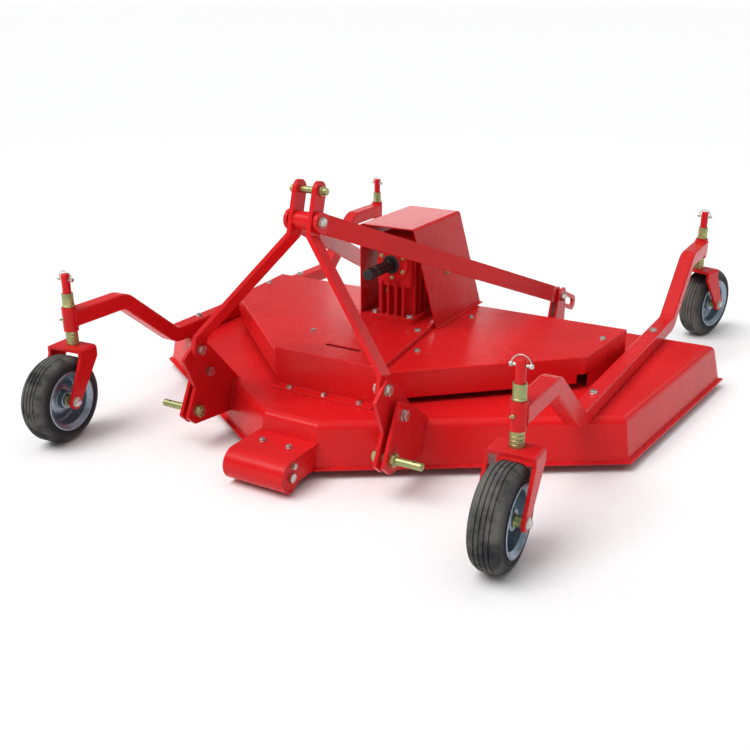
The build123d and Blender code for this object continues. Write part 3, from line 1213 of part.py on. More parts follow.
with BuildPart() as idler_posts:
    for (x, y), foot, top in ((LEFT_IDLER, BELT_Z - 9.5, POST_TOP),
                              (ARM_PIVOT, ARM_BASE - 0.5, ARM_BASE + ARM_THICKNESS + 8)):
        with BuildSketch(Plane.XY.offset(DECK_TOP)):
            with Locations((x, y)):
                Circle(POST_RADIUS + 6)
        extrude(amount=foot - DECK_TOP)
        with BuildSketch(Plane.XY.offset(foot)):
            with Locations((x, y)):
                Circle(POST_RADIUS)
        extrude(amount=top - foot)
save(idler_posts, "idler_posts")
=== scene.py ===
import json
import math
import random

import bmesh
import bpy
from mathutils import Matrix, Vector


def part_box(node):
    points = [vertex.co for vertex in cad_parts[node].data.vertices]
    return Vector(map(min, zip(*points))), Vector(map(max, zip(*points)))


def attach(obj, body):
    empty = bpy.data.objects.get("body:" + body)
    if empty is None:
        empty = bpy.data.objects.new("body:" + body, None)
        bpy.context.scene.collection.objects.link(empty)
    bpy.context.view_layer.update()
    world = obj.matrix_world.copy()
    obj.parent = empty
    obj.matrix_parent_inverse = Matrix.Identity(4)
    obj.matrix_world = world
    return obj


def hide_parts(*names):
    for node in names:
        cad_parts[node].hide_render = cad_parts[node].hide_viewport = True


bl_info = {
    "name": "Finish Mower Looks",
    "version": (1, 0, 0),
    "blender": (4, 5, 0),
    "location": "View3D > Sidebar > Mower",
    "description": "Paints, plates and details a three-point-hitch mower on its packed frame",
    "category": "Object",
}

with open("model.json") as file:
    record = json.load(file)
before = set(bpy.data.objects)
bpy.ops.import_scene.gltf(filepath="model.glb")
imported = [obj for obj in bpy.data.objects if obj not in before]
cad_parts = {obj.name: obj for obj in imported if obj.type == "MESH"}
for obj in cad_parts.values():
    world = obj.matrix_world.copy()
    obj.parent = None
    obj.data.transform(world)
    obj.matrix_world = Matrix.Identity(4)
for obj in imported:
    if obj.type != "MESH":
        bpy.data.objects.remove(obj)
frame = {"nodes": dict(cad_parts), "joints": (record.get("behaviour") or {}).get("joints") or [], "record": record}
NODES = frame["nodes"]
JOINTS = {joint["name"]: joint for joint in frame["joints"]}
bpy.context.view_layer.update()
CORNERS = ("front_left", "front_right", "rear_left", "rear_right")

# Sizes that several steps share, in metres.
SLEEVE_RADIUS = 0.0225       # outside of a caster sleeve
RAIL_TUBE = 0.050            # height of a side rail's square tube
STEM_BORE = 0.01285          # inside of a spacer, round the stem
SPACER_RADIUS = 0.0180
BAIL_RADIUS = 0.0240         # the linch pin's wire bail, to the wire's middle
BAIL_WIRE = 0.0017
HUB_RADIUS = 0.027
HUB_HALF = 0.031
AXLE_RADIUS = 0.008
AXLE_HALF = 0.063            # to the outer face of a fork's leg
TYRE_HALF = 0.0425
LUG_PLATE = 0.0088           # a rear lug's plate
LUG_GAP = 0.0210             # between a pair of lugs
HITCH_WIDTH = 0.034          # over a pair of hitch plates

# ---- shader maths -------------------------------------------------------------------------


class Wire:
    """A socket in a material; arithmetic on it adds Math nodes."""

    def __init__(self, tree, socket=None):
        self.tree = tree
        self.socket = socket

    def node(self, kind, settings, inputs, output=0):
        """Adds any node: its settings first, then the values or wires of its sockets."""
        made = self.tree.nodes.new(kind)
        for key, value in settings.items():
            if key == "stops":
                ramp = made.color_ramp
                while len(ramp.elements) < len(value):
                    ramp.elements.new(0.5)
                for element, (place, colour) in zip(ramp.elements, value):
                    element.position = place
                    element.color = colour
            else:
                setattr(made, key, value)
        for key, value in inputs.items():
            if isinstance(value, Wire):
                self.tree.links.new(value.socket, made.inputs[key])
            else:
                made.inputs[key].default_value = value
        return Wire(self.tree, made.outputs[output])

    def maths(self, operation, first, second):
        return self.node("ShaderNodeMath", {"operation": operation}, {0: first, 1: second})

    def __add__(self, other):
        return self.maths("ADD", self, other)

    __radd__ = __add__

    def __sub__(self, other):
        return self.maths("SUBTRACT", self, other)

    def __rsub__(self, other):
        return self.maths("SUBTRACT", other, self)

    def __mul__(self, other):
        return self.maths("MULTIPLY", self, other)

    __rmul__ = __mul__

    def within(self, low, high):
        """0 below low, 1 above high, smooth between."""
        return self.node("ShaderNodeMapRange", {"interpolation_type": "SMOOTHSTEP"},
                         {"Value": self, "From Min": low, "From Max": high})

    def tint(self, dark, light):
        """Blends two colours, plain or wired, by this mask."""
        return self.node("ShaderNodeMix", {"data_type": "RGBA"}, {0: self, 6: dark, 7: light}, output=2)


def grain(base, place, scale, detail=3.0, rough=0.55, stretch=None):
    """Fine noise over a surface, stretched along an axis when asked."""
    if stretch:
        place = base.node("ShaderNodeMapping", {}, {"Vector": place, "Scale": stretch})
    return base.node("ShaderNodeTexNoise", {}, {"Vector": place, "Scale": scale, "Detail": detail,
                                               "Roughness": rough})


def new_finish(name):
    """An empty material with its shader, its object coordinates and a wire to build on."""
    finish = bpy.data.materials.new(name)
    finish.use_nodes = True
    tree = finish.node_tree
    tree.nodes.clear()
    base = Wire(tree)
    place = base.node("ShaderNodeTexCoord", {}, {}, output="Object")
    shader = tree.nodes.new("ShaderNodeBsdfPrincipled")
    outlet = tree.nodes.new("ShaderNodeOutputMaterial")
    tree.links.new(shader.outputs[0], outlet.inputs["Surface"])
    return finish, base, place, shader


def feed(shader, **values):
    """Sets or links the shader's sockets by name, with _ for a space."""
    for key, value in values.items():
        socket = shader.inputs[key.replace("_", " ")]
        if isinstance(value, Wire):
            value.tree.links.new(value.socket, socket)
        else:
            socket.default_value = value


def edge_mask(base, radius):
    """1 along an edge and 0 on the open face, with the rounded normal it comes from."""
    rounded = base.node("ShaderNodeBevel", {"samples": 6}, {"Radius": radius})
    flat = base.node("ShaderNodeNewGeometry", {}, {}, output="Normal")
    turn = base.node("ShaderNodeVectorMath", {"operation": "DOT_PRODUCT"}, {0: rounded, 1: flat},
                     output="Value")
    return (1.0 - turn).within(0.01, 0.12), rounded


def bump(base, height, strength, distance, normal=None):
    """Relief from a height field."""
    inputs = {"Height": height, "Strength": strength, "Distance": distance}
    if normal is not None:
        inputs["Normal"] = normal
    return base.node("ShaderNodeBump", {}, inputs)


def rgba(colour, gain=1.0):
    return (colour[0] * gain, colour[1] * gain, colour[2] * gain, 1.0)


# ---- finishes -----------------------------------------------------------------------------


def enamel(name, colour, gloss, peel=1.0, casting=0.0):
    """Sprayed enamel over steel: faint mottling, orange peel, soft dents and paler edges, partly wear and partly a
    painted highlight.
    """
    finish, base, place, shader = new_finish(name)
    edges, rounded = edge_mask(base, 0.0022)
    cloud = grain(base, place, 2.4, detail=5.0)
    mottle = grain(base, place, 19.0, detail=4.0)
    speck = grain(base, place, 260.0, detail=2.0)
    nicks = grain(base, place, 95.0, detail=5.0, rough=0.7)
    deep = cloud.within(0.3, 0.72).tint(rgba(colour, 0.86), rgba(colour, 1.1))
    clouded = rgba((colour[0] * 0.9, colour[1] * 1.5, colour[2] * 1.5))
    fine = (mottle.within(0.35, 0.7) * 0.35).tint(deep, clouded)
    # Paler pinkish edges: a painted highlight along every rounded edge, partly also wear of the enamel.
    pale = (min(1.0, colour[0] * 1.12), colour[1] + 0.045, colour[2] + 0.05, 1.0)
    edge_highlight_and_rub = (edges * 0.55).tint(fine, pale)
    chip = edges * nicks.within(0.66, 0.71)
    coat = chip.tint(edge_highlight_and_rub, (0.17, 0.13, 0.12, 1.0))
    dust = speck.within(0.70, 0.78) * 0.25
    dusty = dust.tint(coat, (0.55, 0.32, 0.28, 1.0))
    rough = gloss + mottle * 0.10 + cloud * 0.08 + chip * 0.35 + casting * 0.25 - 0.09
    wave = grain(base, place, 7.0, detail=2.0)
    relief = wave * (0.9 * peel) + grain(base, place, 520.0, detail=1.0) * (0.030 * peel)
    if casting:
        relief = relief + grain(base, place, 420.0, detail=4.0, rough=0.7) * (0.6 * casting)
    feed(shader, Base_Color=dusty, Roughness=rough, Coat_Weight=0.05 - casting * 0.04, Coat_Roughness=0.08,
         Specular_IOR_Level=0.15, Normal=bump(base, relief, 0.35, 0.0016, rounded))
    return finish


def plated(name, colour, second, rough, spangle=0.0, brush=0.0):
    """Zinc plate: uneven passivation, fine scratches, dulled recesses."""
    finish, base, place, shader = new_finish(name)
    edges, rounded = edge_mask(base, 0.0009)
    bloom = grain(base, place, 38.0, detail=5.0, rough=0.65)
    stain = grain(base, place, 130.0, detail=4.0, rough=0.7)
    film = bloom.within(0.36, 0.66).tint(rgba(colour), rgba(second))
    spot = stain.within(0.62, 0.74) * 0.45
    dulled = spot.tint(film, rgba(second, 0.45))
    rub = edges * 0.5
    tone = rub.tint(dulled, rgba((0.82, 0.81, 0.78)))
    scratch = grain(base, place, 60.0, detail=3.0, stretch=(1.0, 1.0, 14.0))
    roughness = rough + bloom * 0.16 + spot * 0.3 + scratch * brush - 0.08
    if spangle:
        cells = base.node("ShaderNodeTexVoronoi", {}, {"Vector": place, "Scale": 150.0}, output="Color")
        flake = base.node("ShaderNodeSeparateColor", {}, {"Color": cells}, output=0)
        tone = (flake * spangle).tint(tone, rgba(colour, 1.55))
        roughness = roughness + flake * 0.14
    relief = scratch * 0.35 + stain * 0.5
    feed(shader, Base_Color=tone, Metallic=0.92, Roughness=roughness,
         Normal=bump(base, relief, 0.22, 0.0004, rounded))
    return finish


def tyre_rubber(name, colour, dust_colour):
    """Solid rubber: worn, greyed tread with dried mud in patches."""
    finish, base, place, shader = new_finish(name)
    patch = grain(base, place, 9.0, detail=6.0, rough=0.65)
    smear = grain(base, place, 34.0, detail=5.0, rough=0.7)
    fine = grain(base, place, 240.0, detail=4.0, rough=0.7)
    tread = base.node("ShaderNodeAttribute", {"attribute_name": "wear"}, {}, output="Fac")
    faded = patch.within(0.38, 0.66) * 0.65 + smear.within(0.45, 0.7) * 0.35
    grey = faded.tint(rgba(colour), rgba(colour, 1.7))
    film = tread * patch.within(0.34, 0.60) * (0.45 + smear * 0.5)
    dusty = film.tint(grey, rgba(dust_colour))
    brown = tread * smear.within(0.56, 0.72) * 0.45
    mud = brown.tint(dusty, (0.105, 0.075, 0.048, 1.0))
    crumbs = fine.within(0.66, 0.74) * 0.35
    tone = crumbs.tint(mud, rgba(dust_colour, 1.3))
    rough = 0.52 + tread * 0.2 + smear * 0.22 + film * 0.12
    relief = fine * 0.6 + smear * 0.8
    feed(shader, Base_Color=tone, Roughness=rough, Specular_IOR_Level=0.22,
         Normal=bump(base, relief, 0.4, 0.0007))
    return finish


def dark_metal(name, colour, rough, rust=0.0, metallic=0.85, cast=0.0):
    """Oiled or cast iron and blade steel, with a little bloom of rust."""
    finish, base, place, shader = new_finish(name)
    edges, rounded = edge_mask(base, 0.001)
    cloud = grain(base, place, 16.0, detail=5.0)
    pits = grain(base, place, 300.0, detail=4.0, rough=0.7)
    tone = cloud.within(0.3, 0.7).tint(rgba(colour, 0.7), rgba(colour, 1.5))
    worn = (edges * 0.6).tint(tone, (0.42, 0.41, 0.40, 1.0))
    bloom = grain(base, place, 48.0, detail=6.0, rough=0.7).within(0.56, 0.70) * rust
    rusty = bloom.tint(worn, (0.20, 0.075, 0.028, 1.0))
    feed(shader, Base_Color=rusty, Metallic=metallic * (1.0 - bloom),
         Roughness=rough + cloud * 0.2 + bloom * 0.4,
         Normal=bump(base, pits * (0.3 + cast) + cloud * 0.2, 0.3, 0.0006, rounded))
    return finish


def floor_paint(name):
    """Pale matt studio floor with a whisper of grain."""
    finish, base, place, shader = new_finish(name)
    speck = grain(base, place, 60.0, detail=3.0)
    feed(shader, Base_Color=speck.within(0.3, 0.7).tint((0.90, 0.90, 0.90, 1.0), (0.93, 0.93, 0.93, 1.0)),
         Roughness=0.85)
    return finish


# ---- bmesh helpers ------------------------------------------------------------------------


def wrap(form, name, body, finish, stands_for=(), sharp=32.0, wear=None):
    """Makes the piece's object, smooth but for its sharp edges, and rides it on its body."""
    bmesh.ops.recalc_face_normals(form, faces=form.faces)
    mesh = bpy.data.meshes.new(name)
    form.to_mesh(mesh)
    form.free()
    mesh.shade_smooth()
    mesh.set_sharp_from_angle(angle=math.radians(sharp))
    if wear:
        layer = mesh.attributes.new("wear", "FLOAT", "POINT")
        layer.data.foreach_set("value", [wear(vertex.co) for vertex in mesh.vertices])
    mesh.materials.append(finish)
    piece = bpy.data.objects.new(name, mesh)
    bpy.context.scene.collection.objects.link(piece)
    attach(piece, body)
    if stands_for:
        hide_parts(*stands_for)
    return piece


def fresh(form, before):
    return [vertex for vertex in form.verts if vertex not in before]


def turned(form, outline, place, steps=48, closed=True):
    """Spins an outline of (radius, height) round local Z, then puts it in place."""
    before = set(form.verts)
    points = [form.verts.new((radius, 0.0, height)) for radius, height in outline]
    pairs = list(zip(points, points[1:])) + ([(points[-1], points[0])] if closed else [])
    edges = [form.edges.new(pair) for pair in pairs]
    bmesh.ops.spin(form, geom=points + edges, cent=(0, 0, 0), axis=(0, 0, 1), angle=math.tau, steps=steps,
                   use_merge=True)
    bmesh.ops.remove_doubles(form, verts=fresh(form, before), dist=1e-6)
    bmesh.ops.transform(form, matrix=place, verts=fresh(form, before))


def hexagon(form, across, height, place, chamfer=0.0007):
    """A hexagon head or nut with its top corners taken off, standing on local Z."""
    before = set(form.verts)
    bmesh.ops.create_circle(form, cap_ends=True, segments=6, radius=across / 2 / math.cos(math.pi / 6))
    made = fresh(form, before)
    lid = {face for vertex in made for face in vertex.link_faces}
    grown = bmesh.ops.extrude_face_region(form, geom=list(lid))
    top = [item for item in grown["geom"] if isinstance(item, bmesh.types.BMVert)]
    bmesh.ops.translate(form, verts=top, vec=(0, 0, height))
    rim = [edge for edge in form.edges if edge.verts[0] in top and edge.verts[1] in top]
    bmesh.ops.bevel(form, geom=rim, offset=chamfer, offset_type="OFFSET", segments=2, profile=0.5,
                    affect="EDGES", material=-1)
    bmesh.ops.transform(form, matrix=place, verts=fresh(form, before))


def washer(form, radius, bore, height, place):
    ease = height * 0.25
    turned(form, [(bore, 0), (radius - ease, 0), (radius, ease), (radius, height - ease),
                  (radius - ease, height), (bore, height)], place, steps=32)


def toward(origin, direction):
    """A matrix whose Z runs along the direction from the origin."""
    turn = Vector(direction).normalized().to_track_quat("Z", "Y").to_matrix().to_4x4()
    return Matrix.Translation(Vector(origin)) @ turn


def weld(form, path, radius, seed):
    """A rippled weld bead laid along a path of points."""
    dice = random.Random(seed)
    run = 0.0
    step = radius * 0.62
    for start, end in zip(path, path[1:]):
        length = (end - start).length
        while run < length:
            at = start.lerp(end, run / max(length, 1e-9))
            size = radius * dice.uniform(0.9, 1.08)
            wander = Vector((dice.uniform(-1, 1), dice.uniform(-1, 1), dice.uniform(-1, 1))) * radius * 0.08
            bmesh.ops.create_icosphere(form, subdivisions=1, radius=size,
                                       matrix=Matrix.Translation(at + wander))
            run += step
        run -= length


def arc(centre, radius, start, end, count=14):
    """Points on a level arc, its angles in degrees."""
    x, y, z = centre
    turn = [math.radians(start + (end - start) * i / count) for i in range(count + 1)]
    return [Vector((x + radius * math.cos(a), y + radius * math.sin(a), z)) for a in turn]


def landing(node, origin, direction):
    """Where a straight line from outside first meets a CAD node, or None where it passes by."""
    hit, spot = NODES[node].ray_cast(Vector(origin), Vector(direction))[:2]
    return spot if hit else None


def islands(node):
    """The boxes of the separate solids in a CAD node, lowest and highest corners."""
    form = bmesh.new()
    form.from_mesh(NODES[node].data)
    bmesh.ops.remove_doubles(form, verts=form.verts, dist=1e-6)
    found = []
    left = set(form.verts)
    while left:
        stack = [left.pop()]
        low, high = stack[0].co.copy(), stack[0].co.copy()
        while stack:
            vertex = stack.pop()
            low = Vector(map(min, low, vertex.co))
            high = Vector(map(max, high, vertex.co))
            for edge in vertex.link_edges:
                other = edge.other_vert(vertex)
                if other in left:
                    left.remove(other)
                    stack.append(other)
        found.append((low, high))
    form.free()
    return found


def dress(nodes, finish):
    """Gives CAD nodes their finish."""
    for name in nodes:
        slots = NODES[name].data.materials
        slots.clear()
        slots.append(finish)


def axle_place(corner):
    """A matrix whose Z is the wheel's axle, at the wheel's centre."""
    joint = JOINTS["wheel_spin_" + corner]
    return toward(joint["pos_m"], joint["axis"])


# ---- settings -----------------------------------------------------------------------------


class MowerSizes(bpy.types.PropertyGroup):
    rib_depth: bpy.props.FloatProperty(name="Tread Groove", description="Depth of the tyre's grooves",
                                       default=0.004, min=0.001, max=0.008, unit="LENGTH",
                                       subtype="DISTANCE")
    bead: bpy.props.FloatProperty(name="Weld Bead", description="Radius of the weld beads", default=0.0028,
                                  min=0.001, max=0.006, unit="LENGTH", subtype="DISTANCE")
    floor: bpy.props.FloatProperty(name="Floor", description="Side of the studio floor", default=400.0,
                                   min=10.0, unit="LENGTH", subtype="DISTANCE")


class MowerColours(bpy.types.PropertyGroup):
    paint: bpy.props.FloatVectorProperty(name="Paint", description="Enamel on the sheet and plate", size=3,
                                         default=(0.66, 0.010, 0.012), min=0, max=1, subtype="COLOR")
    rubber: bpy.props.FloatVectorProperty(name="Rubber", description="Clean tyre rubber", size=3,
                                          default=(0.019, 0.020, 0.022), min=0, max=1, subtype="COLOR")
    dust: bpy.props.FloatVectorProperty(name="Dust", description="Dried dust on the tread", size=3,
                                        default=(0.17, 0.165, 0.145), min=0, max=1, subtype="COLOR")
    zinc: bpy.props.FloatVectorProperty(name="Zinc", description="Bright zinc on bolts and pins", size=3,
                                        default=(0.60, 0.60, 0.57), min=0, max=1, subtype="COLOR")
    passivate: bpy.props.FloatVectorProperty(name="Yellow Zinc", description="Passivated zinc on the spacers",
                                             size=3, default=(0.46, 0.42, 0.17), min=0, max=1,
                                             subtype="COLOR")
    galvanised: bpy.props.FloatVectorProperty(name="Rim", description="Galvanised wheel rims", size=3,
                                              default=(0.27, 0.345, 0.41), min=0, max=1, subtype="COLOR")


# The sky's brightness by the height of the direction, from the horizon to the zenith.
SKY = [(0.0, (1.2, 1.2, 1.2, 1)), (0.11, (1.1, 1.1, 1.1, 1)), (0.21, (0.15, 0.15, 0.16, 1)),
       (0.52, (0.18, 0.18, 0.19, 1)), (0.72, (0.60, 0.60, 0.61, 1)), (1.0, (0.95, 0.95, 0.96, 1))]
# Name, kind, place, aim, power in watts (strength for the sun), and size in metres (degrees for the sun).
LAMPS = (
    ("broad_sun", "SUN", (-2.0, -3.2, 6.0), (0, 0, 0), 2.1, 38),
    ("strip_left", "AREA", (-3.4, -1.6, 2.4), (0, -0.2, 0.3), 12, (0.8, 2.6)),
    ("strip_back", "AREA", (2.6, 3.4, 2.6), (0, 0, 0.3), 12, (2.4, 0.8)),
    ("roof_glare", "AREA", (-1.95, 3.6, 1.47), (0, -0.1, 0.585), 4.0, (1.3, 0.30)),
)
CAMERA_PLACE = (1.4303, -2.8149, 1.2357)
CAMERA_TURN = (68.72, 0.0, 29.98)
CAMERA_LENS = 46.4
FINISHES = {}


def finish_of(key):
    """Each finish is made once, on first use."""
    if key not in FINISHES:
        tones = bpy.context.scene.mower_colours
        makers = {
            "paint": lambda: enamel("gloss_red_enamel", tones.paint, 0.27),
            "casting": lambda: enamel("red_casting", tones.paint, 0.42, casting=1.0),
            "zinc": lambda: plated("bright_zinc", tones.zinc, (0.42, 0.41, 0.36), 0.30),
            "yellow": lambda: plated("yellow_zinc", tones.passivate, (0.30, 0.36, 0.17), 0.34, brush=0.15),
            "rim": lambda: plated("galvanised_rim", tones.galvanised, (0.23, 0.27, 0.31), 0.34, spangle=0.5),
            "tyre": lambda: tyre_rubber("dusty_tyre_rubber", tones.rubber, tones.dust),
            "belt": lambda: tyre_rubber("belt_rubber", (0.02, 0.02, 0.02), (0.05, 0.05, 0.05)),
            "blade": lambda: dark_metal("blade_steel", (0.26, 0.25, 0.24), 0.34, rust=0.55),
            "iron": lambda: dark_metal("machined_iron", (0.10, 0.10, 0.10), 0.42, rust=0.3, cast=0.5),
            "black": lambda: dark_metal("oiled_black_steel", (0.035, 0.035, 0.036), 0.26, metallic=0.7),
            "weld": lambda: enamel("painted_weld", tones.paint, 0.36, peel=0.3),
        }
        FINISHES[key] = makers[key]()
    return FINISHES[key]


# ---- operators ----------------------------------------------------------------------------


class MOWER_OT_paint_steel(bpy.types.Operator):
    """Paint the deck, rails, housing, mast, forks and hitch"""
    bl_idname = "mower.paint_steel"
    bl_label = "Paint Steel"

    def execute(self, context):
        painted = [row["node"] for row in frame["record"]["subparts"] if row["material_slot"] == "red_paint"]
        dress([name for name in painted if name != "gearbox_case"], finish_of("paint"))
        dress(["gearbox_case"], finish_of("casting"))
        return {"FINISHED"}


class MOWER_OT_finish_drive(bpy.types.Operator):
    """Finish the shafts, pulleys, idlers, blades and belt"""
    bl_idname = "mower.finish_drive"
    bl_label = "Finish Drive"

    def execute(self, context):
        by_slot = {"black_steel": "black", "cast_iron": "iron", "blade_steel": "blade", "belt_rubber": "belt"}
        for row in frame["record"]["subparts"]:
            if row["material_slot"] in by_slot:
                dress([row["node"]], finish_of(by_slot[row["material_slot"]]))
        return {"FINISHED"}


class MOWER_OT_plate_pins(bpy.types.Operator):
    """Plate the pins and cross bolts that keep their plain shape"""
    bl_idname = "mower.plate_pins"
    bl_label = "Plate Pins"

    def execute(self, context):
        dress(["hitch_bolts", "roller_shaft"], finish_of("zinc"))
        dress(["lower_hitch_pins", "top_link_pin"], finish_of("yellow"))
        return {"FINISHED"}


class MOWER_OT_fit_tyres(bpy.types.Operator):
    """Turn the four solid tyres with their ribs and sidewall rings"""
    bl_idname = "mower.fit_tyres"
    bl_label = "Fit Tyres"

    def execute(self, context):
        depth = context.scene.mower_sizes.rib_depth
        for corner in CORNERS:
            place = axle_place(corner)
            low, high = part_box("tyre_" + corner)
            outer = (high.z - low.z) / 2
            rim_low, rim_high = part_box("rim_" + corner)
            seat = (rim_high.z - rim_low.z) / 2 - 0.0102
            half = TYRE_HALF
            # The sidewall with its shallow ring, then the rounded shoulder.
            side = [(seat, half - 0.009), (seat + 0.014, half), (seat + 0.019, half),
                    (seat + 0.0195, half - 0.0014), (seat + 0.0225, half - 0.0014), (seat + 0.023, half),
                    (outer - 0.024, half), (outer - 0.0165, half - 0.0018), (outer - 0.0105, half - 0.0055),
                    (outer - 0.006, half - 0.011), (outer - 0.0025, half - 0.0175),
                    (outer - 0.0006, half - 0.0215)]
            ribs = []
            for groove in (0.018, 0.006):
                ribs += [(outer, groove + 0.0021), (outer - 0.0006, groove + 0.0016),
                         (outer - depth, groove + 0.001), (outer - depth, groove - 0.001),
                         (outer - 0.0006, groove - 0.0016), (outer, groove - 0.0021)]
            half_outline = side + ribs
            outline = half_outline + [(radius, -height) for radius, height in reversed(half_outline)]
            form = bmesh.new()
            turned(form, outline, place, steps=112)
            centre = Vector(JOINTS["wheel_spin_" + corner]["pos_m"])
            axis = Vector(JOINTS["wheel_spin_" + corner]["axis"])

            def wear(co, centre=centre, axis=axis, outer=outer):
                across = (co - centre).dot(axis)
                radius = (co - centre - axis * across).length
                return max(0.0, min(1.0, (radius - outer + 0.026) / 0.020))

            wrap(form, "ribbed_tyre_" + corner, "wheel_" + corner, finish_of("tyre"),
                 ("tyre_" + corner,), sharp=40.0, wear=wear)
        return {"FINISHED"}


class MOWER_OT_fit_rims(bpy.types.Operator):
    """Press the four dished rims with rolled lips, stiffening rings and welded hubs"""
    bl_idname = "mower.fit_rims"
    bl_label = "Fit Rims"

    def execute(self, context):
        for corner in CORNERS:
            place = axle_place(corner)
            low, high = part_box("rim_" + corner)
            lip = (high.z - low.z) / 2
            well = lip - 0.0175
            form = bmesh.new()
            rolled = [(lip - 0.0105, 0.0335), (lip - 0.0015, 0.0432), (lip, 0.0440), (lip - 0.0012, 0.0452),
                      (lip - 0.0046, 0.0455), (lip - 0.0075, 0.0430), (well, 0.0345)]
            outline = rolled + [(radius, -height) for radius, height in reversed(rolled)]
            turned(form, outline, place, steps=96)
            dish = [(HUB_RADIUS - 0.001, -0.0088), (0.0330, -0.0085), (0.0440, -0.0072), (0.0500, -0.0015),
                    (0.0545, 0.0022), (0.0600, 0.0034), (0.0640, 0.0062), (0.0672, 0.0062), (0.0700, 0.0034),
                    (well + 0.0004, 0.0032), (well + 0.0004, 0.0078), (0.0705, 0.0080), (0.0672, 0.0108),
                    (0.0640, 0.0108), (0.0590, 0.0080), (0.0532, 0.0068), (0.0478, 0.0028), (0.0428, -0.0026),
                    (0.0330, -0.0038), (HUB_RADIUS - 0.001, -0.0040)]
            turned(form, dish, place, steps=96)
            bore, ease = AXLE_RADIUS + 0.0001, 0.002
            turned(form, [(bore, -HUB_HALF), (HUB_RADIUS - ease, -HUB_HALF), (HUB_RADIUS, ease - HUB_HALF),
                          (HUB_RADIUS, HUB_HALF - ease), (HUB_RADIUS - ease, HUB_HALF), (bore, HUB_HALF)],
                   place, steps=64)
            # Beads where the dish meets the hub, on both faces.
            around = HUB_RADIUS + 0.0005
            for height in (-0.0098, -0.0030):
                ring = [place @ Vector((around * math.cos(a), around * math.sin(a), height))
                        for a in (math.tau * i / 28 for i in range(29))]
                weld(form, ring, 0.0022, seed=7)
            # Press marks round the dish.
            for index in range(6):
                angle = math.tau * index / 6 + 0.3
                spot = place @ Matrix.Rotation(angle, 4, "Z") @ Matrix.Translation((0.0385, 0, -0.0028))
                turned(form, [(0, 0), (0.0034, 0), (0.0030, 0.0012), (0, 0.0016)], spot, steps=14)
            wrap(form, "dished_rim_" + corner, "wheel_" + corner, finish_of("rim"),
                 ("rim_" + corner,), sharp=38.0)
        return {"FINISHED"}


class MOWER_OT_fit_axles(bpy.types.Operator):
    """Bolt the wheels in: flanged bushes, bolt heads, washers and locking nuts"""
    bl_idname = "mower.fit_axles"
    bl_label = "Fit Axles"

    def execute(self, context):
        for corner in CORNERS:
            place = axle_place(corner)
            leg = AXLE_HALF
            form = bmesh.new()
            turned(form, [(0, -leg), (AXLE_RADIUS, -leg), (AXLE_RADIUS, leg), (0, leg)], place, steps=32,
                   closed=False)
            for side in (-1, 1):
                out = place @ Matrix.Rotation(0 if side > 0 else math.pi, 4, "X")
                washer(form, 0.0150, 0.0078, 0.0016, out @ Matrix.Translation((0, 0, leg + 0.0001)))
                hexagon(form, 0.0205, 0.0075, out @ Matrix.Translation((0, 0, leg + 0.0016)), chamfer=0.0009)
                if side > 0:
                    turned(form, [(0.0060, leg + 0.0088), (0.0076, leg + 0.0088), (0.0076, leg + 0.0070),
                                  (0.0060, leg + 0.0070)], out, steps=28)
                else:
                    turned(form, [(0, leg + 0.0094), (0.0058, leg + 0.0094), (0.0068, leg + 0.0084),
                                  (0.0068, leg + 0.0060), (0, leg + 0.0060)], out, steps=28, closed=False)
            wrap(form, "axle_bolt_" + corner, "caster_" + corner, finish_of("zinc"),
                 ("wheel_axle_" + corner,))
            form = bmesh.new()
            for side in (-1, 1):
                out = place @ Matrix.Rotation(0 if side > 0 else math.pi, 4, "X")
                turned(form, [(0.0082, 0.0315), (0.0166, 0.0315), (0.0174, 0.0323), (0.0174, 0.0340),
                              (0.0166, 0.0348), (0.0146, 0.0348), (0.0141, 0.0356), (0.0141, 0.0515),
                              (0.0134, 0.0524), (0.0082, 0.0524)], out, steps=40)
            wrap(form, "hub_bushes_" + corner, "caster_" + corner, finish_of("yellow"),
                 ("wheel_axle_" + corner,))
        return {"FINISHED"}


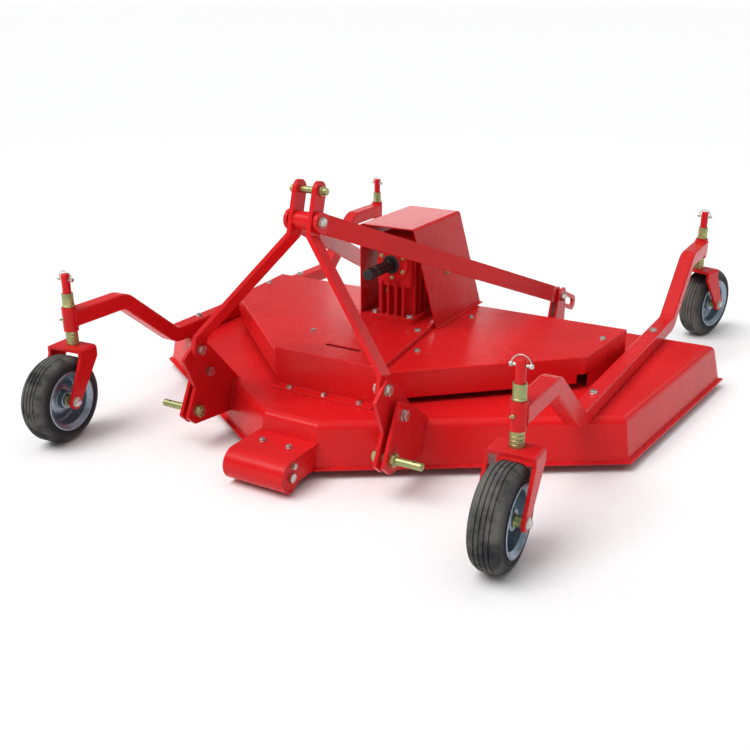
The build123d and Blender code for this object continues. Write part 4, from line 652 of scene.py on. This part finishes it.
class MOWER_OT_stack_spacers(bpy.types.Operator):
    """Stack the height spacers and pin each stem with a wire bail"""
    bl_idname = "mower.stack_spacers"
    bl_label = "Stack Spacers"

    def execute(self, context):
        for corner in CORNERS:
            stem = JOINTS["swivel_" + corner]["pos_m"]
            low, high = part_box("stem_hardware_" + corner)
            sleeve_low, sleeve_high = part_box("caster_sleeves")
            base = Matrix.Translation((stem[0], stem[1], 0))
            form = bmesh.new()
            bore, outer = STEM_BORE, SPACER_RADIUS

            def ring(bottom, top):
                ease = 0.0011
                turned(form, [(bore, bottom), (outer - ease, bottom), (outer, bottom + ease),
                              (outer, top - ease), (outer - ease, top), (bore + ease, top),
                              (bore, top - ease)], base, steps=48)

            part = (sleeve_low.z - low.z) / 4
            for index in range(4):
                ring(low.z + index * part + 0.0001, low.z + (index + 1) * part - 0.0004)
            # Above the sleeve: a collar, then a rolled tube with its ends dressed.
            collar = sleeve_high.z + 0.0075
            ring(sleeve_high.z + 0.0005, collar)
            foot, tip, wall = collar + 0.0003, sleeve_high.z + 0.042, outer - 0.0012
            turned(form, [(bore, foot), (wall, foot), (wall, tip - 0.0010), (wall - 0.0006, tip),
                          (bore + 0.0008, tip), (bore, tip - 0.0008)], base, steps=48)
            wrap(form, "height_spacers_" + corner, "caster_" + corner, finish_of("yellow"),
                 ("stem_hardware_" + corner,))
            # The pin lies across the stem, its head and foot outside the wire loop.
            form = bmesh.new()
            trail = Vector(JOINTS["wheel_spin_" + corner]["axis"])
            height = high.z - 0.0268
            cross = toward((stem[0], stem[1], height), trail)
            turned(form, [(0, -0.0290), (0.0045, -0.0285), (0.0062, -0.0262), (0.0064, -0.0215),
                          (0.0055, -0.0195), (0.0040, -0.0190), (0.0040, 0.0190), (0.0052, 0.0196),
                          (0.0060, 0.0215), (0.0060, 0.0265), (0.0044, 0.0286), (0, 0.0290)],
                   cross, steps=24, closed=False)
            before = set(form.verts)
            section = bmesh.ops.create_circle(form, cap_ends=False, segments=10, radius=BAIL_WIRE,
                                              matrix=Matrix.Translation((BAIL_RADIUS, 0, 0)))["verts"]
            loop = {edge for vertex in section for edge in vertex.link_edges}
            bmesh.ops.spin(form, geom=section + list(loop), cent=(0, 0, 0), axis=(0, 1, 0), angle=-math.pi,
                           steps=28)
            bail = fresh(form, before)
            turn = trail.to_track_quat("X", "Z").to_matrix().to_4x4()
            stand = Matrix.Translation((stem[0], stem[1], height)) @ turn
            bmesh.ops.transform(form, matrix=stand @ Matrix.Diagonal((1, 1, 1.02, 1)), verts=bail)
            wrap(form, "linch_pin_" + corner, "caster_" + corner, finish_of("zinc"),
                 ("stem_hardware_" + corner,))
        return {"FINISHED"}


class MOWER_OT_join_clevis(bpy.types.Operator):
    """Bolt the mast's ears and the braces together through a painted spacer tube"""
    bl_idname = "mower.join_clevis"
    bl_label = "Join Clevis"

    def execute(self, context):
        low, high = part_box("mast_bolt")
        middle = (low + high) / 2
        across = toward((0.0, middle.y, middle.z), (1, 0, 0))
        bore, tube = 0.0080, 0.0250
        # Along the bolt from its middle: the tube's end, the ear's face and the brace's outer face.
        ear, brace, face = 0.0248, 0.0371, 0.0527
        shell = bmesh.new()
        turned(shell, [(bore + 0.0003, -ear), (tube - 0.0015, -ear), (tube - 0.0003, 0.0015 - ear),
                       (tube - 0.0003, ear - 0.0015), (tube - 0.0015, ear), (bore + 0.0003, ear)],
               across, steps=64)
        wrap(shell, "mast_spacer_tube", "mast", finish_of("paint"), ("mast_bolt",))
        form = bmesh.new()
        turned(form, [(0, -face), (bore, -face), (bore, face), (0, face)], across, steps=32, closed=False)
        for side in (-1, 1):
            out = across @ Matrix.Rotation(0 if side > 0 else math.pi, 4, "X")
            washer(form, 0.0158, bore, 0.0048, out @ Matrix.Translation((0, 0, brace)))
            washer(form, 0.0150, bore, 0.0020, out @ Matrix.Translation((0, 0, face)))
            hexagon(form, 0.0238, 0.0078, out @ Matrix.Translation((0, 0, face + 0.0018)), chamfer=0.0010)
        wrap(form, "mast_cross_bolt", "mast", finish_of("zinc"), ("mast_bolt",))
        return {"FINISHED"}


class MOWER_OT_fit_nipples(bpy.types.Operator):
    """Screw a grease nipple into each caster sleeve"""
    bl_idname = "mower.fit_nipples"
    bl_label = "Fit Grease Nipples"

    def execute(self, context):
        form = bmesh.new()
        for corner in CORNERS:
            stem = JOINTS["swivel_" + corner]["pos_m"]
            ahead = -1 if stem[1] < 0 else 1
            spot = toward((stem[0] - 0.004, stem[1] + ahead * 0.0212, stem[2] + 0.003), (-0.18, ahead, 0.10))
            hexagon(form, 0.0098, 0.0042, spot, chamfer=0.0005)
            turned(form, [(0, 0.0040), (0.0034, 0.0040), (0.0034, 0.0062), (0.0022, 0.0072), (0.0022, 0.0088),
                          (0.0033, 0.0102), (0.0033, 0.0118), (0.0020, 0.0134), (0, 0.0138)], spot, steps=20,
                   closed=False)
        wrap(form, "grease_nipples", "chassis", finish_of("yellow"))
        return {"FINISHED"}


class MOWER_OT_set_bolts(bpy.types.Operator):
    """Fit hexagon bolts with washers through the covers, housing, rails and gearbox"""
    bl_idname = "mower.set_bolts"
    bl_label = "Set Bolts"

    def execute(self, context):
        for node in ("housing_bolts", "rail_bolts", "gearbox_bolts"):
            form = bmesh.new()
            for low, high in islands(node):
                radius = (high.x - low.x) / 4
                middle = (low + high) / 2
                head = 1.25 * radius
                base = Matrix.Translation((middle.x, middle.y, high.z - head - 0.002))
                spin = base @ Matrix.Rotation(middle.x * 31 + middle.y * 17, 4, "Z")
                across, thin = radius * 3.1, 0.0018
                washer(form, radius * 2, radius * 0.98, thin, base)
                hexagon(form, across, head, spin @ Matrix.Translation((0, 0, thin)), chamfer=radius * 0.16)
                under = Matrix.Translation((middle.x, middle.y, low.z))
                hexagon(form, across, radius * 1.5, under, chamfer=radius * 0.14)
                shank = high.z - low.z - head
                turned(form, [(0, 0.0), (radius, 0.0), (radius, shank), (0, shank)], under, steps=20,
                       closed=False)
            wrap(form, node.replace("bolts", "hex_bolts"), "chassis", finish_of("zinc"),
                 (node,))
        return {"FINISHED"}


class MOWER_OT_lay_welds(bpy.types.Operator):
    """Lay weld beads at the sleeves, fork crowns, hitch plates and lugs"""
    bl_idname = "mower.lay_welds"
    bl_label = "Lay Welds"

    def execute(self, context):
        bead = context.scene.mower_sizes.bead
        form = bmesh.new()
        for index, corner in enumerate(CORNERS):
            stem = Vector(JOINTS["swivel_" + corner]["pos_m"])
            inward = 90 if stem.y < 0 else -90
            rail = "side_rail_left" if stem.x < 0 else "side_rail_right"
            top = Vector((stem.x, stem.y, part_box(rail)[1].z))
            for drop, seed in ((0.0, index), (RAIL_TUBE, index + 9)):
                ring = arc(top - Vector((0, 0, drop)), SLEEVE_RADIUS, inward - 88, inward + 88)
                weld(form, ring, bead, seed=seed)
        for side in (-1, 1):
            # Lug plates on the deck.
            low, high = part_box("rear_lugs")
            deck_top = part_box("deck_shell")[1].z
            for across in (high.x + 0.0008, high.x - LUG_PLATE - LUG_GAP - 0.0008):
                run = [Vector((side * across, low.y + (high.y - low.y) * i / 10, deck_top + 0.0006))
                       for i in range(11)]
                weld(form, run, bead, seed=31 + side)
            # Hitch plates on the deck's swept wall.
            low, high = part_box("hitch_plates")
            for across in (high.x + 0.001, high.x - HITCH_WIDTH - 0.001):
                run = []
                for i in range(34):
                    spot = landing("deck_shell", (side * across, low.y + (high.y - low.y) * i / 33, high.z),
                                   (0, 0, -1))
                    if spot is not None and spot.z > 0.045 and spot.y > low.y + 0.12:
                        run.append(spot + Vector((0, -0.0004, 0.0006)))
                weld(form, run, bead, seed=41 + side)
        wrap(form, "chassis_welds", "chassis", finish_of("weld"), sharp=80.0)
        for index, corner in enumerate(CORNERS):
            form = bmesh.new()
            stem = Vector(JOINTS["swivel_" + corner]["pos_m"])
            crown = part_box("stem_hardware_" + corner)[0].z
            weld(form, arc((stem.x, stem.y, crown - 0.0006), 0.0196, 0, 360, 30), bead * 0.8, seed=60 + index)
            wrap(form, "crown_weld_" + corner, "caster_" + corner, finish_of("weld"), sharp=80.0)
        return {"FINISHED"}


class MOWER_OT_dress_gearbox(bpy.types.Operator):
    """Add the gearbox's cover bolts, plugs, shaft seal and the shield's fixings"""
    bl_idname = "mower.dress_gearbox"
    bl_label = "Dress Gearbox"

    def execute(self, context):
        shaft = Vector(JOINTS["input_shaft_spin"]["pos_m"])
        low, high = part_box("gearbox_case")
        front = landing("gearbox_case", (shaft.x + 0.046, low.y - 0.2, shaft.z), (0, 1, 0))
        rear = landing("gearbox_case", (shaft.x + 0.042, high.y + 0.2, shaft.z), (0, -1, 0))
        plates = bmesh.new()
        bolts = bmesh.new()
        face = toward((shaft.x, front.y, shaft.z), (0, -1, 0))
        for index in range(6):
            turn = Matrix.Rotation(math.tau * index / 6 + 0.52, 4, "Z")
            spot = face @ turn @ Matrix.Translation((0.0435, 0, 0))
            washer(bolts, 0.0068, 0.0035, 0.0012, spot)
            hexagon(bolts, 0.0100, 0.0042, spot @ Matrix.Translation((0, 0, 0.0012)), chamfer=0.0005)
        back = toward((shaft.x, rear.y, shaft.z), (0, 1, 0))
        turned(plates, [(0, 0), (0.046, 0), (0.046, 0.004), (0.0445, 0.0055), (0.020, 0.0062),
                        (0.0185, 0.0092), (0, 0.0095)], back, steps=64, closed=False)
        for index in range(6):
            turn = Matrix.Rotation(math.tau * index / 6 + 0.2, 4, "Z")
            spot = back @ turn @ Matrix.Translation((0.0365, 0, 0.0058))
            hexagon(bolts, 0.0100, 0.0042, spot, chamfer=0.0005)
        # Breather on top, level plug on the front's lower side.
        lid = Matrix.Translation((shaft.x + 0.018, shaft.y + 0.03, high.z - 0.0002))
        hexagon(bolts, 0.0150, 0.0060, lid, chamfer=0.0007)
        turned(bolts, [(0, 0.0058), (0.0050, 0.0058), (0.0050, 0.0090), (0.0082, 0.0102), (0.0082, 0.0142),
                       (0.0060, 0.0158), (0, 0.0160)], lid, steps=28, closed=False)
        drain = landing("gearbox_case", (shaft.x - 0.027, low.y - 0.2, shaft.z - 0.095), (0, 1, 0))
        plug = toward(drain, (0, -1, 0))
        washer(bolts, 0.0115, 0.0050, 0.0018, plug)
        hexagon(bolts, 0.0145, 0.0070, plug @ Matrix.Translation((0, 0, 0.0018)), chamfer=0.0008)
        wrap(plates, "gearbox_rear_cover", "chassis", finish_of("casting"), sharp=34.0)
        # Fixings through the shield's sloping sides.
        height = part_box("gearbox_shield")[0].z + 0.158
        for side in (-1, 1):
            spot = landing("gearbox_shield", (side * 0.4, shaft.y + 0.060, height), (-side, 0, 0))
            lean = toward(spot, (side, 0, 0.14))
            washer(bolts, 0.0105, 0.0045, 0.0016, lean)
            hexagon(bolts, 0.0130, 0.0056, lean @ Matrix.Translation((0, 0, 0.0016)), chamfer=0.0006)
        wrap(bolts, "gearbox_fittings", "chassis", finish_of("yellow"))
        seal = bmesh.new()
        nose = landing("gearbox_case", (shaft.x + 0.026, low.y - 0.2, shaft.z), (0, 1, 0))
        turned(seal, [(0.0178, 0), (0.0300, 0), (0.0300, 0.0022), (0.0282, 0.0034), (0.0225, 0.0034),
                      (0.0205, 0.0018), (0.0178, 0.0018)], toward((shaft.x, nose.y, shaft.z), (0, -1, 0)),
               steps=56)
        wrap(seal, "shaft_seal", "chassis", finish_of("belt"))
        return {"FINISHED"}


class MOWER_OT_build_stage(bpy.types.Operator):
    """Set the floor, the soft lights and the camera"""
    bl_idname = "mower.build_stage"
    bl_label = "Build Stage"

    def execute(self, context):
        scene = context.scene
        size = scene.mower_sizes.floor
        form = bmesh.new()
        bmesh.ops.create_grid(form, x_segments=2, y_segments=2, size=size / 2)
        mesh = bpy.data.meshes.new("studio_floor")
        form.to_mesh(mesh)
        form.free()
        mesh.materials.append(floor_paint("pale_floor"))
        floor = bpy.data.objects.new("studio_floor", mesh)
        scene.collection.objects.link(floor)

        world = bpy.data.worlds.new("soft_sky")
        world.use_nodes = True
        tree = world.node_tree
        base = Wire(tree)
        ray = base.node("ShaderNodeTexCoord", {}, {}, output="Generated")
        rise = base.node("ShaderNodeSeparateXYZ", {}, {0: ray}, output="Z")
        sky = base.node("ShaderNodeValToRGB", {"stops": SKY}, {"Fac": rise})
        tree.links.new(sky.socket, tree.nodes["Background"].inputs["Color"])
        scene.world = world
        scene.view_settings.view_transform = "Standard"

        for name, kind, place, aim, power, spread in LAMPS:
            light = bpy.data.lights.new(name, kind)
            light.energy = power
            if kind == "SUN":
                light.angle = math.radians(spread)
            else:
                light.shape = "RECTANGLE"
                light.size, light.size_y = spread
            holder = bpy.data.objects.new(name, light)
            holder.location = place
            holder.rotation_euler = (Vector(aim) - Vector(place)).to_track_quat("-Z", "Y").to_euler()
            scene.collection.objects.link(holder)

        lens = bpy.data.cameras.new("studio_lens")
        lens.lens = CAMERA_LENS
        lens.sensor_width = 36.0
        lens.clip_end = 200.0
        camera = bpy.data.objects.new("studio_camera", lens)
        camera.location = CAMERA_PLACE
        camera.rotation_euler = [math.radians(angle) for angle in CAMERA_TURN]
        scene.collection.objects.link(camera)
        scene.camera = camera
        return {"FINISHED"}


class MOWER_PT_looks(bpy.types.Panel):
    """Sizes, colours and steps of the mower's looks"""
    bl_idname = "MOWER_PT_looks"
    bl_label = "Mower"
    bl_space_type = "VIEW_3D"
    bl_region_type = "UI"
    bl_category = "Mower"

    def draw(self, context):
        layout = self.layout
        for group in (context.scene.mower_sizes, context.scene.mower_colours):
            column = layout.column(align=True)
            for key in group.bl_rna.properties.keys():
                if key not in ("rna_type", "name"):
                    column.prop(group, key)
        for step in STEPS:
            layout.operator(step.bl_idname)


STEPS = (
    MOWER_OT_paint_steel, MOWER_OT_finish_drive, MOWER_OT_plate_pins, MOWER_OT_fit_tyres,
    MOWER_OT_fit_rims, MOWER_OT_fit_axles, MOWER_OT_stack_spacers, MOWER_OT_join_clevis,
    MOWER_OT_fit_nipples, MOWER_OT_set_bolts, MOWER_OT_lay_welds, MOWER_OT_dress_gearbox,
    MOWER_OT_build_stage,
)
CLASSES = (MowerSizes, MowerColours) + STEPS + (MOWER_PT_looks,)


def register():
    for item in CLASSES:
        bpy.utils.register_class(item)
    bpy.types.Scene.mower_sizes = bpy.props.PointerProperty(type=MowerSizes)
    bpy.types.Scene.mower_colours = bpy.props.PointerProperty(type=MowerColours)


def unregister():
    del bpy.types.Scene.mower_colours
    del bpy.types.Scene.mower_sizes
    for item in reversed(CLASSES):
        bpy.utils.unregister_class(item)


def main():
    register()
    for step in STEPS:
        group, action = step.bl_idname.split(".")
        getattr(getattr(bpy.ops, group), action)()


if __name__ == "__main__":
    main()
